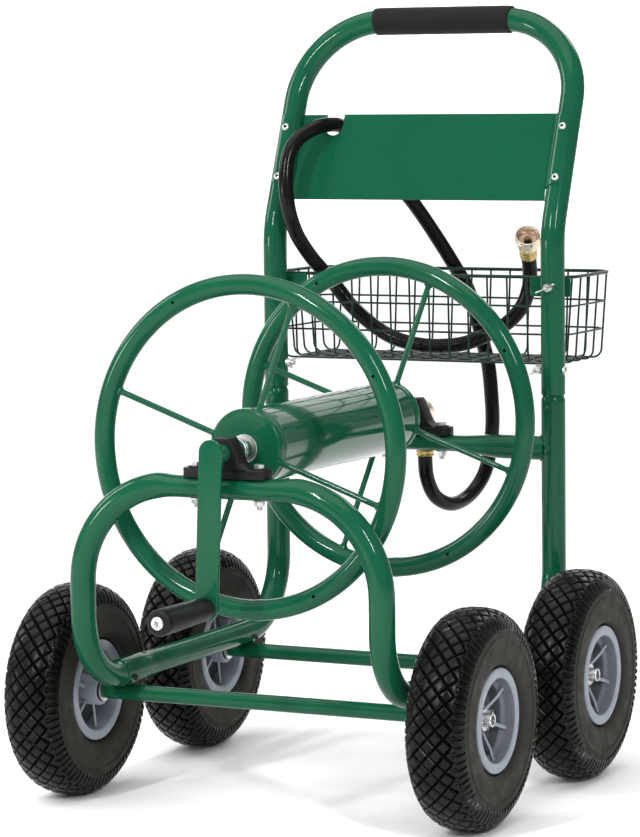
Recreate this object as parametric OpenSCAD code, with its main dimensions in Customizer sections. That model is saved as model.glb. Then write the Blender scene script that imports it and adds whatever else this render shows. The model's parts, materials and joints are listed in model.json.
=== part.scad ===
// Garden hose reel cart
// Four wheeled tube frame, crank driven hose reel, leader hose and wire basket.
// Units are millimetres. +Z is up, -Y is the crank side, +Y is the handle side.
// The origin is on the ground, under the middle of the whole cart.

/* [Frame] */
// Outside diameter of the frame tubes
tube_d = 30; // [24:0.5:36]
// Wall of the frame tubes
tube_wall = 1.6; // [1.2:0.1:3]
// Distance between the left and right tube centres
tube_span = 382; // [340:1:420]
// Middle of the front loop along the cart
loop_y = -254; // [-280:1:-230]
// Middle of the uprights along the cart
upright_y = 248; // [230:1:270]
// Height of the side rails
rail_z = 152.5; // [145:0.5:165]
// Height of the front bar and of the rear crossbar
bar_z = 390; // [360:1:420]
// Bend radius of the front loop's upper corners
loop_corner_r = 118; // [70:1:140]
// Bend radius where the legs turn into the rails
leg_bend_r = 80; // [70:1:120]
// Bend radius where the rails turn up into the uprights
rear_bend_r = 92; // [70:1:120]
// Outside diameter of the axle tubes
axle_d = 19; // [16:0.5:24]

/* [Handle] */
// Height of the sleeve joint on the uprights
joint_z = 457; // [430:1:480]
// Height where the handle starts to lean
knee_z = 659; // [620:1:700]
// Lean of the handle
lean = 22; // [0:0.5:35]
// Length of the leaning part up to the hand bar
lean_len = 281; // [220:1:320]
// Bend radius of the handle's upper corners
handle_corner_r = 108; // [80:1:140]
// Length of the foam sleeve
grip_len = 196; // [120:1:240]
// Diameter of the foam sleeve
grip_d = 35; // [32:0.5:45]

/* [Reel] */
// Height of the reel axis
reel_z = 430; // [400:1:460]
// Middle of the front hoop along the cart
hoop_front_y = -205; // [-220:1:-180]
// Middle of the rear hoop along the cart
hoop_rear_y = 168; // [140:1:190]
// Centreline radius of the hoops
hoop_r = 187; // [150:1:210]
// Diameter of the hoop tube
hoop_d = 24; // [18:0.5:28]
// Diameter of the drum
drum_d = 88; // [70:1:120]
// Diameter of the reel shaft
shaft_d = 22; // [18:0.5:26]
// Diameter of a spoke
spoke_d = 8; // [5:0.5:10]
// Turn of the spokes seen from the crank side
spoke_turn = 70; // [0:1:90]

/* [Crank] */
// Distance from the reel axis to the grip
crank_len = 173; // [150:1:220]
// Turn of the crank from straight down
crank_turn = 2.5; // [-180:0.5:180]
// Width of the crank arm
arm_w = 28.5; // [20:0.5:35]
// Length of the crank grip
crank_grip_len = 111; // [90:1:130]
// Diameter of the crank grip
crank_grip_d = 27; // [22:0.5:34]

/* [Wheels] */
// Diameter of the tyres
tyre_d = 254; // [200:1:300]
// Width of the tyres
tyre_w = 74; // [60:1:90]
// Distance from the middle of the cart to the middle of a wheel
wheel_x = 258; // [240:1:280]
// Front axle along the cart
axle_front_y = -158; // [-180:1:-140]
// Rear axle along the cart
axle_rear_y = 162; // [140:1:180]
// Diameter of the axle ends
journal_d = 16; // [12:0.5:20]
// Ribs on each side of a rim
rib_count = 6; // [4:1:8]

/* [Basket] */
// Height of the basket's rim
rim_z = 600.5; // [560:0.5:640]
// Height of the basket's cross wires along the bottom
floor_z = 494; // [460:1:540]
// Half the width of the basket between its end wires
basket_half_w = 203.5; // [160:0.5:240]
// Front wires of the basket along the cart
basket_front_y = 269.5; // [266:0.5:280]
// Rear wires of the basket along the cart
basket_rear_y = 407; // [360:1:420]
// Wire diameter of the mesh
wire_d = 2.6; // [2:0.1:4]
// Wire diameter of the rim
rim_wire_d = 4.4; // [3:0.1:6]
// Number of cross wires
cross_wires = 14; // [8:1:18]
// Distance between cross wires
cross_pitch = 26.75; // [20:0.25:32]
// Number of long wires
long_wires = 5; // [3:1:8]

/* [Leader hose] */
// Diameter of the hose
hose_d = 19; // [16:0.5:22]

/* [Hidden] */
$fn = 64;

green = [0.06, 0.34, 0.22];
black = [0.07, 0.07, 0.08];
rubber = [0.10, 0.10, 0.10];
zinc = [0.75, 0.76, 0.78];
brass = [0.80, 0.62, 0.30];
grey = [0.56, 0.59, 0.64];

tube_r = tube_d / 2;
bore_r = tube_r - tube_wall;
side_x = tube_span / 2;
axle_r = axle_d / 2;
journal_r = journal_d / 2;
shaft_r = shaft_d / 2;
hoop_tr = hoop_d / 2;
drum_r = drum_d / 2;
wire_r = wire_d / 2;
rim_wire_r = rim_wire_d / 2;
tyre_r = tyre_d / 2;
run = 0.05; // radial gap of a running fit
seam_w = 0.3;
seam_h = 0.02;
sides = [-1, 1];

// Sleeve joints between the loop and the rails
socket_r = tube_r + 1.5;
socket_start = -176;
socket_end = -122;
screw_z = rail_z - 6;
screw_front_y = -164;
screw_rear_y = 150;
screw_r = 3;
rail_screw_r = 2;

// Handle
spigot_r = bore_r - 0.1;
spigot_top = joint_z + 62;
joint_bolt_z = joint_z + 30;
knee_bend_r = 110;
knee_cut = knee_bend_r * tan(lean / 2);

// Bearing blocks
seat_z = bar_z + 12;
base_t = 10;
base_half = 54;
block_bolt_x = 40;
block_bolt_r = 4;
block_depth = 30;

// Crank
arm_t = 5;
arm_back_y = -292;
arm_front_y = arm_back_y - arm_t;
grip_start_y = arm_front_y - 1;
grip_end_y = grip_start_y - crank_grip_len;

// Wheels
shoulder_x = 219;
hub_in = 221.4;
hub_out = 271;
washer_t = 2;
pin_x = 277;
axle_end_x = 283;
rim_in = 227;
rim_out = 290;
rim_r = 60;
tyre_t = 6;

// Swivel and leader hose
elbow_y = 285;
leg_end_z = 388;
// Route of the hose, from the swivel elbow to the coupling
hose_route = [[0, 285, 388], [0, 285, 365], [0, 291, 340], [3, 308, 316], [10, 336, 303],
    [15, 368, 304], [20, 398, 316], [25, 420, 338], [28, 430, 370], [30, 432, 400],
    [29, 432, 430], [25, 432, 472], [16, 432, 508], [7, 432, 543], [-5, 432, 575],
    [-20, 428, 602], [-36, 408, 640], [-54, 378, 684], [-76, 350, 724], [-102, 327, 764],
    [-122, 310, 785], [-131, 295, 789], [-141, 270, 786], [-156, 248, 772], [-163, 233, 750],
    [-163, 225, 718], [-160, 226, 684], [-156, 239, 653], [-150, 263, 625], [-141, 282, 604],
    [-125, 294, 580], [-109, 298, 559], [-84, 301, 537], [-52, 303, 518], [-14, 305, 509],
    [26, 308, 509], [57, 312, 516], [94, 317, 534], [117, 320, 556], [128, 320, 579],
    [132, 317, 600], [135, 306, 624], [140, 292, 637]];
hose_steps = 2;
hose_sides = 12;
tail_at = [140, 292, 637];
tail_tilt = 45;
tail_turn = -22.5;

// Basket
corner_r = 25;
foot_r = 12;
mid_z = [564, 529];
front_foot_y = basket_front_y + 4;
rear_foot_y = basket_rear_y - 9;
half_foot = basket_half_w - 8;
long_first_y = 281;
long_pitch = 29;
weld = 0.3; // depth that welded wires sink into each other

function unit(v) = v / norm(v);
function mix(a, b, t) = a + (b - a) * t;
function bend_angle(a, b, c) = acos(unit(b - a) * unit(c - b));
function trim(a, b, c, r) = r * tan(bend_angle(a, b, c) / 2);
function on_handle(x, s, n = 0) =
    [x, upright_y + s * sin(lean) - n * cos(lean), knee_z + s * cos(lean) + n * sin(lean)];
function catmull(p0, p1, p2, p3, t) = 0.5 * (2 * p1 + (p2 - p0) * t
    + (2 * p0 - 5 * p1 + 4 * p2 - p3) * t * t + (3 * p1 - p0 - 3 * p2 + p3) * t * t * t);
// How far the wires of the basket have closed in at a height, from 0 at the rim to 1
function closed(z) = (rim_z - z) / (rim_z - floor_z);

// Puts a child's axes on three unit vectors at a point
module at_axes(p, x, y, z) {
    multmatrix([[x[0], y[0], z[0], p[0]], [x[1], y[1], z[1], p[1]], [x[2], y[2], z[2], p[2]]])
        children();
}

// A round bar from a to b
module bar(a, b, r) {
    z = unit(b - a);
    side = abs(z[2]) > 0.9 ? [1, 0, 0] : [0, 0, 1];
    x = unit(cross(side, z));
    at_axes(a, x, cross(z, x), z)
        cylinder(h = norm(b - a), r = r);
}

// A round bend at corner b of the path a, b, c
module bend(a, b, c, path_r, r) {
    u = unit(b - a);
    v = unit(c - b);
    angle = bend_angle(a, b, c);
    inward = unit(v - u * (u * v));
    start = b - u * trim(a, b, c, path_r);
    at_axes(start + inward * path_r, -inward, u, cross(-inward, u))
        rotate_extrude(angle = angle)
            translate([path_r, 0])
                circle(r = r);
}

// A hair-thin collar that closes the seam between a straight and a bend
module seam(p, u, r) {
    bar(p - u * seam_w, p + u * seam_w, r + seam_h);
}

// A round bar along a path with rounded corners
module bent_bar(path, path_r, r) {
    last = len(path) - 1;
    for (i = [0 : last - 1]) {
        a = path[i];
        b = path[i + 1];
        u = unit(b - a);
        cut_a = i == 0 ? 0 : trim(path[i - 1], a, b, path_r);
        cut_b = i == last - 1 ? 0 : trim(a, b, path[i + 2], path_r);
        bar(a + u * cut_a, b - u * cut_b, r);
        if (i > 0)
            seam(a + u * cut_a, u, r);
        if (i < last - 1)
            seam(b - u * cut_b, u, r);
    }
    for (i = [1 : last - 1])
        bend(path[i - 1], path[i], path[i + 1], path_r, r);
}

module mirror_x() {
    children();
    mirror([1, 0, 0]) children();
}

// A cylinder along Y, from y0 to y1
module rod_y(x, z, y0, y1, r) {
    translate([x, y1, z])
        rotate([90, 0, 0])
            cylinder(h = y1 - y0, r = r);
}

// A cylinder along X, from x0 to x1
module rod_x(y, z, x0, x1, r) {
    translate([x0, y, z])
        rotate([0, 90, 0])
            cylinder(h = x1 - x0, r = r);
}

module hex_x(y, z, x0, x1, r) {
    translate([x0, y, z])
        rotate([0, 90, 0])
            cylinder(h = x1 - x0, r = r, $fn = 6);
}

// ---------------------------------------------------------------- frame

// Half of the front loop, grown or shrunk by the tube radius r
module half_loop(r, tail) {
    corner = [side_x, loop_y, bar_z];
    foot = [side_x, loop_y, rail_z];
    end = [side_x, tail, rail_z];
    top_cut = loop_corner_r;
    bar([0, loop_y, bar_z], [side_x - top_cut, loop_y, bar_z], r);
    bend([0, loop_y, bar_z], corner, foot, loop_corner_r, r);
    bar(corner - [0, 0, top_cut], foot + [0, 0, leg_bend_r], r);
    bend(corner, foot, end, leg_bend_r, r);
    bar(foot + [0, leg_bend_r, 0], end, r);
}

module front_loop() {
    color(green)
    difference() {
        mirror_x() half_loop(tube_r, socket_end - 2);
        mirror_x() half_loop(bore_r, socket_end + 2);
        for (s = sides) {
            translate([s * block_bolt_x, loop_y, bar_z - tube_d])
                cylinder(h = 2 * tube_d, r = block_bolt_r + 0.2);
            rod_x(screw_front_y, screw_z, s * side_x - tube_d, s * side_x + tube_d,
                rail_screw_r + 0.2);
        }
    }
}

// The right side tube: socket, rail, rear bend, upright and necked spigot
module side_tube() {
    front = [side_x, socket_end, rail_z];
    corner = [side_x, upright_y, rail_z];
    top = [side_x, upright_y, joint_z - 5];
    difference() {
        union() {
            bar([side_x, socket_start, rail_z], front, socket_r);
            translate(front)
                rotate([-90, 0, 0])
                    cylinder(h = 14, r1 = socket_r, r2 = tube_r - 0.2);
            bent_bar([front, corner, top], rear_bend_r, tube_r);
            translate(top)
                cylinder(h = 5, r1 = tube_r, r2 = spigot_r);
            bar([side_x, upright_y, joint_z], [side_x, upright_y, spigot_top], spigot_r);
        }
        bar([side_x, socket_start - 1, rail_z], front, tube_r + run);
        bent_bar([front - [0, 1, 0], corner, top - [0, 0, 5]], rear_bend_r, bore_r);
        bar(top - [0, 0, 6], [side_x, upright_y, spigot_top + 1], spigot_r - 1.6);
        rod_x(screw_front_y, screw_z, side_x - tube_d, side_x + tube_d, rail_screw_r + 0.2);
        rod_x(screw_rear_y, screw_z, side_x - tube_d, side_x + tube_d, rail_screw_r + 0.2);
        rod_x(upright_y, joint_bolt_z, side_x - tube_d, side_x + tube_d, screw_r + 0.2);
    }
}

module side_tube_right() {
    color(green) side_tube();
}

module side_tube_left() {
    color(green) mirror([1, 0, 0]) side_tube();
}

// An axle with saddles under the rails and thinner ends for the wheels
module axle(y, saddle_top) {
    difference() {
        union() {
            rod_x(y, tyre_r, -shoulder_x, shoulder_x, axle_r);
            rod_x(y, tyre_r, -axle_end_x, axle_end_x, journal_r);
            for (s = sides)
                translate([s * side_x - 7, y - 7, tyre_r])
                    cube([14, 14, saddle_top - tyre_r]);
        }
        rod_x(y, tyre_r, -axle_end_x - 1, axle_end_x + 1, journal_r - 2.4);
        for (s = sides)
            translate([s * pin_x, y, tyre_r - 12])
                cylinder(h = 24, r = 1.6);
    }
}

module front_axle() {
    color(green) axle(axle_front_y, rail_z - socket_r + 0.4);
}

module rear_axle() {
    color(green) axle(axle_rear_y, rail_z - tube_r + 0.4);
}

module crossbar() {
    reach = side_x - tube_r + 1.2;
    color(green)
    difference() {
        bar([-reach, upright_y, bar_z], [reach, upright_y, bar_z], tube_r);
        bar([-reach - 1, upright_y, bar_z], [reach + 1, upright_y, bar_z], bore_r);
        for (s = sides) {
            translate([s * block_bolt_x, upright_y, bar_z - tube_d])
                cylinder(h = 2 * tube_d, r = block_bolt_r + 0.2);
            bar([s * side_x, upright_y, bar_z - tube_d], [s * side_x, upright_y, bar_z + tube_d],
                tube_r - 0.3);
        }
    }
}

// Screws through the rails beside the axles, heads outside
module frame_screws() {
    color(zinc)
    for (s = sides, y = [screw_front_y, screw_rear_y]) {
        reach = (y < 0 ? socket_r : tube_r) - 0.3;
        mirror([s < 0 ? 1 : 0, 0, 0]) {
            rod_x(y, screw_z, side_x - reach - 4.6, side_x + reach + 1, rail_screw_r);
            hex_x(y, screw_z, side_x + reach, side_x + reach + 2.8, 4);
        }
    }
}

module frame_nuts() {
    color(zinc)
    for (s = sides, y = [screw_front_y, screw_rear_y]) {
        reach = (y < 0 ? socket_r : tube_r) - 0.3;
        mirror([s < 0 ? 1 : 0, 0, 0])
        difference() {
            hex_x(y, screw_z, side_x - reach - 2.8, side_x - reach, 3.6);
            rod_x(y, screw_z, side_x - reach - 6, side_x, rail_screw_r);
        }
    }
}

// ---------------------------------------------------------------- handle

// Frame of the leaning legs: they start at z = 0, where the knee bend ends
module on_legs() {
    translate([0, upright_y + knee_bend_r, knee_z - knee_cut])
        rotate([-lean, 0, 0])
            translate([0, -knee_bend_r, 0])
                children();
}

// Arc of the right knee between two of its angles
module knee_arc(a0, a1, r) {
    translate([side_x, upright_y + knee_bend_r, knee_z - knee_cut])
        rotate([0, 90, 0])
            rotate([0, 0, -90 - a1])
                rotate_extrude(angle = a1 - a0)
                    translate([knee_bend_r, 0])
                        circle(r = r);
}

// Half of the handle: vertical foot, knee bend, leaning leg, upper corner and hand bar.
// A gap keeps the three stretches apart, as short walls in the bore.
module half_handle(r, foot_z, gap = 0) {
    low = [side_x, upright_y, knee_z - knee_cut];
    rise = lean_len - knee_cut;
    gap_a = gap * 0.5;
    bar([side_x, upright_y, foot_z], low - [0, 0, gap], r);
    knee_arc(gap_a, lean - gap_a, r);
    on_legs() {
        bar([side_x, 0, gap], [side_x, 0, rise - handle_corner_r], r);
        bend([side_x, 0, 0], [side_x, 0, rise], [0, 0, rise], handle_corner_r, r);
        bar([side_x - handle_corner_r, 0, rise], [0, 0, rise], r);
    }
}

// Short bar through both ends of the right knee
module knee_pins(half_l, r) {
    bar([side_x, upright_y, knee_z - knee_cut - half_l],
        [side_x, upright_y, knee_z - knee_cut + half_l], r);
    on_legs()
        bar([side_x, 0, -half_l], [side_x, 0, half_l], r);
}

module handle_frame() {
    color(green)
    difference() {
        mirror_x() {
            half_handle(tube_r, joint_z);
            knee_pins(0.4, tube_r - 0.1);
        }
        mirror_x() {
            half_handle(bore_r, joint_z - 1, 0.8);
            knee_pins(2, 9);
        }
        for (s = sides) {
            rod_x(upright_y, joint_bolt_z, s * side_x - tube_d, s * side_x + tube_d,
                screw_r + 0.2);
            rod_y(s * side_x, rim_z - 11, upright_y - tube_d, upright_y + tube_d, screw_r + 0.2);
        }
    }
}

module handle_grip() {
    a = on_handle(-grip_len / 2, lean_len);
    b = on_handle(grip_len / 2, lean_len);
    color(black)
    difference() {
        bar(a, b, grip_d / 2);
        bar(a - [1, 0, 0], b + [1, 0, 0], tube_r);
    }
}

// Bolts through the sleeve joints, heads outside
module joint_bolts() {
    color(zinc)
    for (s = sides)
        mirror([s < 0 ? 1 : 0, 0, 0]) {
            rod_x(upright_y, joint_bolt_z, side_x - tube_r - 12, side_x + tube_r + 1, screw_r);
            rod_x(upright_y, joint_bolt_z, side_x + tube_r - 0.7, side_x + tube_r + 3, 5.5);
        }
}

// Frame of the leaning handle: X across, Y up along the tubes, Z towards the crank side
module on_lean(s) {
    translate([0, upright_y, knee_z])
        rotate([-lean, 0, 0])
            translate([0, 0, s])
                rotate([90, 0, 0])
                    children();
}

sheet_t = 1.5;
panel_half = 171;
panel_low = 39;
panel_high = 153;
notch_x = -129.5;
notch_w = 24;
notch_low = 125;
flange_low = 52;
rivet_s = [64, 131];

// Cross-section of the right flange: out of the sheet and round the front of the tube
function flange_in() = [for (a = [150 : -10 : 60])
    [side_x + (tube_r + 0.05) * cos(a), (tube_r + 0.05) * sin(a)]];
function flange_out() = [for (a = [60 : 10 : 150])
    [side_x + (tube_r + sheet_t) * cos(a), (tube_r + sheet_t) * sin(a)]];

module back_panel() {
    color(green)
    difference() {
        union() {
            on_lean(0)
                translate([-panel_half, panel_low, -sheet_t / 2])
                    cube([2 * panel_half, panel_high - panel_low, sheet_t]);
            for (s = sides)
                mirror([s < 0 ? 1 : 0, 0, 0])
                translate([0, upright_y, knee_z])
                    rotate([-lean, 0, 0])
                        translate([0, 0, flange_low])
                            linear_extrude(height = panel_high - 3 - flange_low)
                                mirror([0, 1, 0])
                                    polygon(concat([[panel_half - 1, -sheet_t / 2]],
                                        [[panel_half + 0.8, -sheet_t / 2]],
                                        flange_in(), flange_out(),
                                        [[panel_half - 1, sheet_t]]));
        }
        on_lean(0) {
            translate([notch_x - notch_w / 2, notch_low + notch_w / 2, -10])
                cube([notch_w, 60, 20]);
            translate([notch_x, notch_low + notch_w / 2, -10])
                cylinder(h = 20, r = notch_w / 2);
        }
        for (s = sides, h = rivet_s)
            bar(on_handle(s * side_x, h, 5), on_handle(s * side_x, h, 30), 2.2);
    }
}

module panel_rivets() {
    color(zinc)
    for (s = sides, h = rivet_s) {
        bar(on_handle(s * side_x, h, tube_r - 1), on_handle(s * side_x, h, tube_r + 2), 2.2);
        intersection() {
            at_axes(on_handle(s * side_x, h, tube_r - 3.2), [1, 0, 0],
                [0, sin(lean), cos(lean)], [0, -cos(lean), sin(lean)])
                sphere(r = 7);
            bar(on_handle(s * side_x, h, tube_r + sheet_t), on_handle(s * side_x, h, 30), 5);
        }
    }
}

// ---------------------------------------------------------------- basket

module ring(z, half, y0, y1, r, cr) {
    for (a = [0, 1])
        translate([0, (y0 + y1) / 2, z])
            rotate([0, 0, a * 180]) {
                dy = (y1 - y0) / 2;
                bar([-half + cr, -dy, 0], [half - cr, -dy, 0], r);
                bend([half - cr - 1, -dy, 0], [half, -dy, 0], [half, 0, 0], cr, r);
                bar([half, -dy + cr, 0], [half, dy - cr, 0], r);
                bend([half, 0, 0], [half, dy, 0], [half - cr - 1, dy, 0], cr, r);
                for (e = sides) {
                    seam([e * (half - cr), -dy, 0], [1, 0, 0], r);
                    seam([half, e * (dy - cr), 0], [0, 1, 0], r);
                }
            }
}

module basket_rings() {
    gap = rim_wire_r + wire_r - weld;
    color(green) {
        ring(rim_z, basket_half_w + gap, basket_front_y - gap, basket_rear_y + gap,
            rim_wire_r, corner_r);
        for (z = mid_z) {
            k = closed(z);
            out = wire_d - weld;
            ring(z, mix(basket_half_w, half_foot, k) + out,
                mix(basket_front_y, front_foot_y, k) - out,
                mix(basket_rear_y, rear_foot_y, k) + out, wire_r, corner_r - 3);
        }
    }
}

module basket_cross_wires() {
    first = -(cross_wires - 1) / 2 * cross_pitch;
    color(green)
    for (i = [0 : cross_wires - 1]) {
        x = first + i * cross_pitch;
        bent_bar([[x, basket_front_y, rim_z + 1], [x, front_foot_y, floor_z],
            [x, rear_foot_y, floor_z], [x, basket_rear_y, rim_z + 1]], foot_r, wire_r);
    }
}

module basket_long_wires() {
    low = floor_z - wire_d + weld;
    color(green)
    for (i = [0 : long_wires - 1]) {
        y = long_first_y + i * long_pitch;
        bent_bar([[-basket_half_w, y, rim_z + 1], [-half_foot, y, low],
            [half_foot, y, low], [basket_half_w, y, rim_z + 1]], foot_r, wire_r);
    }
}

module basket_plates() {
    color(green)
    for (s = sides)
        difference() {
            translate([s * (side_x - 10) - 27, upright_y + tube_r, rim_z - 24])
                cube([54, 2, 24.5]);
            rod_y(s * side_x, rim_z - 11, upright_y, upright_y + 30, screw_r + 0.2);
        }
}

module basket_bolts() {
    color(zinc)
    for (s = sides) {
        rod_y(s * side_x, rim_z - 11, upright_y - tube_r - 12, upright_y + tube_r + 3, screw_r);
        rod_y(s * side_x, rim_z - 11, upright_y + tube_r + 2, upright_y + tube_r + 5, 5.5);
    }
}

// A wing nut on the Z axis, seat at z = 0
module wing_nut() {
    difference() {
        union() {
            cylinder(h = 7, r1 = 5.6, r2 = 4.6);
            for (a = [0, 180])
                rotate([0, 0, a])
                    translate([0, 1, 0])
                        rotate([90, 0, 0])
                            linear_extrude(height = 2)
                                polygon([[3.2, 1], [7, 2], [12, 8], [13, 12], [11, 13.5],
                                    [7.5, 11], [3.2, 6]]);
        }
        translate([0, 0, -1])
            cylinder(h = 20, r = screw_r);
    }
}

module wing_nuts() {
    color(zinc)
    for (s = sides) {
        translate([s * side_x, upright_y - tube_r + 0.3, rim_z - 11])
            rotate([90, 25, 0])
                wing_nut();
        translate([s * (side_x - tube_r + 0.3), upright_y, joint_bolt_z])
            rotate([0, -s * 90, 0])
                rotate([0, 0, 65])
                    wing_nut();
    }
}

// ---------------------------------------------------------------- bearing blocks

module block(y) {
    difference() {
        union() {
            translate([-base_half, y - 13, seat_z - 1.5])
                cube([2 * base_half, 26, base_t + 1.5]);
            translate([0, y + block_depth / 2, 0])
                rotate([90, 0, 0])
                    linear_extrude(height = block_depth)
                        polygon([[-28, seat_z + base_t - 1], [28, seat_z + base_t - 1],
                            [23, reel_z - 8], [16.5, reel_z + 8], [11.5, reel_z + 17],
                            [-11.5, reel_z + 17], [-16.5, reel_z + 8], [-23, reel_z - 8]]);
            for (s = sides)
                translate([s * block_bolt_x, y, seat_z])
                    cylinder(h = base_t + 1.5, r = 9.5);
        }
        rod_y(0, reel_z, y - 40, y + 40, shaft_r + run);
        bar([-base_half - 1, y, bar_z], [base_half + 1, y, bar_z], tube_r);
        for (s = sides)
            translate([s * block_bolt_x, y, seat_z - 10])
                cylinder(h = 40, r = block_bolt_r + 0.2);
    }
}

module front_block() {
    color(black) block(loop_y);
}

module rear_block() {
    color(black) block(upright_y);
}

module block_bolts() {
    top = seat_z + base_t + 1.5;
    color(zinc)
    for (s = sides, y = [loop_y, upright_y]) {
        translate([s * block_bolt_x, y, bar_z - tube_r - 12])
            cylinder(h = top - bar_z + tube_r + 13, r = block_bolt_r);
        translate([s * block_bolt_x, y, top])
            cylinder(h = 5.3, r = 7.5, $fn = 6);
    }
}

module block_washers() {
    color(zinc)
    for (s = sides, y = [loop_y, upright_y])
        translate([s * block_bolt_x, y, bar_z - tube_r - 1.4])
            difference() {
                cylinder(h = 1.6, r = 8);
                translate([0, 0, -1])
                    cylinder(h = 4, r = block_bolt_r + 0.2);
            }
}

module block_nuts() {
    color(zinc)
    for (s = sides, y = [loop_y, upright_y])
        translate([s * block_bolt_x, y, bar_z - tube_r - 7.9])
            difference() {
                cylinder(h = 6.5, r = 7.5, $fn = 6);
                translate([0, 0, -1])
                    cylinder(h = 9, r = block_bolt_r);
            }
}

// ---------------------------------------------------------------- wheels

// Places a child built on the X axis, outer side towards +X, at one wheel
module at_wheel(side, y) {
    translate([0, y, tyre_r])
        mirror([side < 0 ? 1 : 0, 0, 0])
            children();
}

// Turns a profile of [radius, x] points about the X axis
module lathe_x(profile) {
    rotate([0, 90, 0])
        rotate_extrude()
            polygon(profile);
}

// Squared oval of the tyre's section, t inside its outer surface
function tyre_edge(a, t = 0) = [tyre_r - 36 + (36 - t) * pow(abs(cos(a)), 0.75),
    wheel_x + sign(sin(a)) * pow(abs(sin(a)), 0.75) * (tyre_w / 2 - t)];

module tyre(side, y) {
    color(rubber)
    at_wheel(side, y)
        lathe_x(concat(
            [[rim_r - 6, rim_in + 6], [rim_r + 1, rim_in + 1], [rim_r + 6, rim_in - 3]],
            [for (a = [-90 : 9 : 90]) tyre_edge(a)],
            [[rim_r + 6, rim_out + 2], [rim_r + 1, rim_out - 1], [rim_r - 6, rim_out - 6]],
            [[rim_r - 6, rim_out - 13], [rim_r + 4, rim_out - 10]],
            [for (a = [90 : -15 : -90]) tyre_edge(a, tyre_t)],
            [[rim_r + 4, rim_in + 10], [rim_r - 6, rim_in + 13]]));
}

module rim(side, y) {
    mid = (rim_in + rim_out) / 2;
    color(grey)
    at_wheel(side, y)
        difference() {
            union() {
                lathe_x([[47, rim_in + 3], [50, rim_in], [rim_r - 1, rim_in],
                    [rim_r, rim_in + 1], [rim_r - 6.1, rim_in + 7], [rim_r - 6.1, rim_out - 7],
                    [rim_r, rim_out - 1], [rim_r - 1, rim_out], [50, rim_out],
                    [47, rim_out - 3], [46, mid + 6], [46, mid - 6]]);
                lathe_x([[11, hub_in + 1.5], [18, hub_in + 1.5], [18, mid - 2],
                    [47, mid - 2], [47, mid + 2], [17, mid + 2], [15.5, hub_out - 1.5],
                    [11, hub_out - 1.5]]);
                for (i = [0 : rib_count - 1])
                    rotate([i * 360 / rib_count + 10, 0, 0])
                        translate([0, 1.75, 0])
                            rotate([90, 0, 0])
                                linear_extrude(height = 3.5)
                                    polygon([[rim_in + 7, 49], [hub_in + 3, 14],
                                        [hub_out - 3, 14], [rim_out - 9, 49]]);
            }
            rod_x(0, 0, hub_in - 5, hub_out + 5, 11);
        }
}

module bushes(side, y) {
    color(black)
    at_wheel(side, y)
        for (end = [0, 1])
            translate([end == 0 ? hub_in : hub_out, 0, 0])
                mirror([end, 0, 0])
                    lathe_x([[journal_r + run, 0], [13.5, 0], [13.5, 1.5], [11, 1.5],
                        [11, 14], [journal_r + run, 14]]);
}

module tyre_fl() { tyre(-1, axle_front_y); }
module rim_fl() { rim(-1, axle_front_y); }
module bushes_fl() { bushes(-1, axle_front_y); }
module tyre_fr() { tyre(1, axle_front_y); }
module rim_fr() { rim(1, axle_front_y); }
module bushes_fr() { bushes(1, axle_front_y); }
module tyre_rl() { tyre(-1, axle_rear_y); }
module rim_rl() { rim(-1, axle_rear_y); }
module bushes_rl() { bushes(-1, axle_rear_y); }
module tyre_rr() { tyre(1, axle_rear_y); }
module rim_rr() { rim(1, axle_rear_y); }
module bushes_rr() { bushes(1, axle_rear_y); }

module wheel_washers() {
    color(zinc)
    for (s = sides, y = [axle_front_y, axle_rear_y])
        at_wheel(s, y)
            for (x = [shoulder_x, hub_out + 0.4])
                lathe_x([[journal_r, x], [13, x], [13, x + washer_t], [journal_r, x + washer_t]]);
}

module split_pins() {
    color(zinc)
    for (s = sides, y = [axle_front_y, axle_rear_y])
        at_wheel(s, y) {
            translate([pin_x, 0, -14])
                cylinder(h = 24.5, r = 1.5);
            translate([pin_x, 0, 13])
                rotate([90, 0, 90])
                    rotate_extrude()
                        translate([3, 0])
                            circle(r = 1.1);
        }
}

// ---------------------------------------------------------------- reel

drum_front = hoop_front_y - 6;
drum_rear = hoop_rear_y + 6;
cup_depth = 12;

module drum_tube() {
    color(green)
    difference() {
        rod_y(0, reel_z, drum_front + sheet_t, drum_rear - sheet_t, drum_r);
        rod_y(0, reel_z, drum_front, drum_rear, drum_r - sheet_t);
        translate([0, outlet_y, reel_z])
            rotate([0, outlet_turn, 0])
                cylinder(h = 80, r = 11);
    }
}

// A pressed cup on a drum end: rounded lip, flat face, hole for the shaft
module cup(y, flip) {
    translate([0, y, reel_z])
        rotate([flip ? 90 : -90, 0, 0])
            rotate_extrude()
                polygon([[shaft_r, 0], [drum_r - 1.5, 0], [drum_r + 0.7, 0.6], [drum_r + 1.5, 2.5],
                    [drum_r + 1.5, cup_depth], [drum_r, cup_depth], [drum_r, sheet_t],
                    [shaft_r, sheet_t]]);
}

module drum_cups() {
    color(green) {
        cup(drum_front, false);
        cup(drum_rear, true);
    }
}

module hoop(y) {
    difference() {
        translate([0, y, reel_z])
            rotate([90, 0, 0])
                rotate_extrude()
                    translate([hoop_r, 0])
                        circle(r = hoop_tr);
        translate([0, y, reel_z])
            rotate([90, 0, 0])
                rotate_extrude()
                    translate([hoop_r, 0])
                        circle(r = hoop_tr - 1.5);
        for (i = [0 : 3]) {
            a = spoke_turn - 45 + i * 90;
            rod_y(hoop_r * cos(a), reel_z + hoop_r * sin(a), y - hoop_d, y, 2);
        }
    }
}

module hoop_front() {
    color(green) hoop(hoop_front_y);
}

module hoop_rear() {
    color(green) hoop(hoop_rear_y);
}

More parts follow.
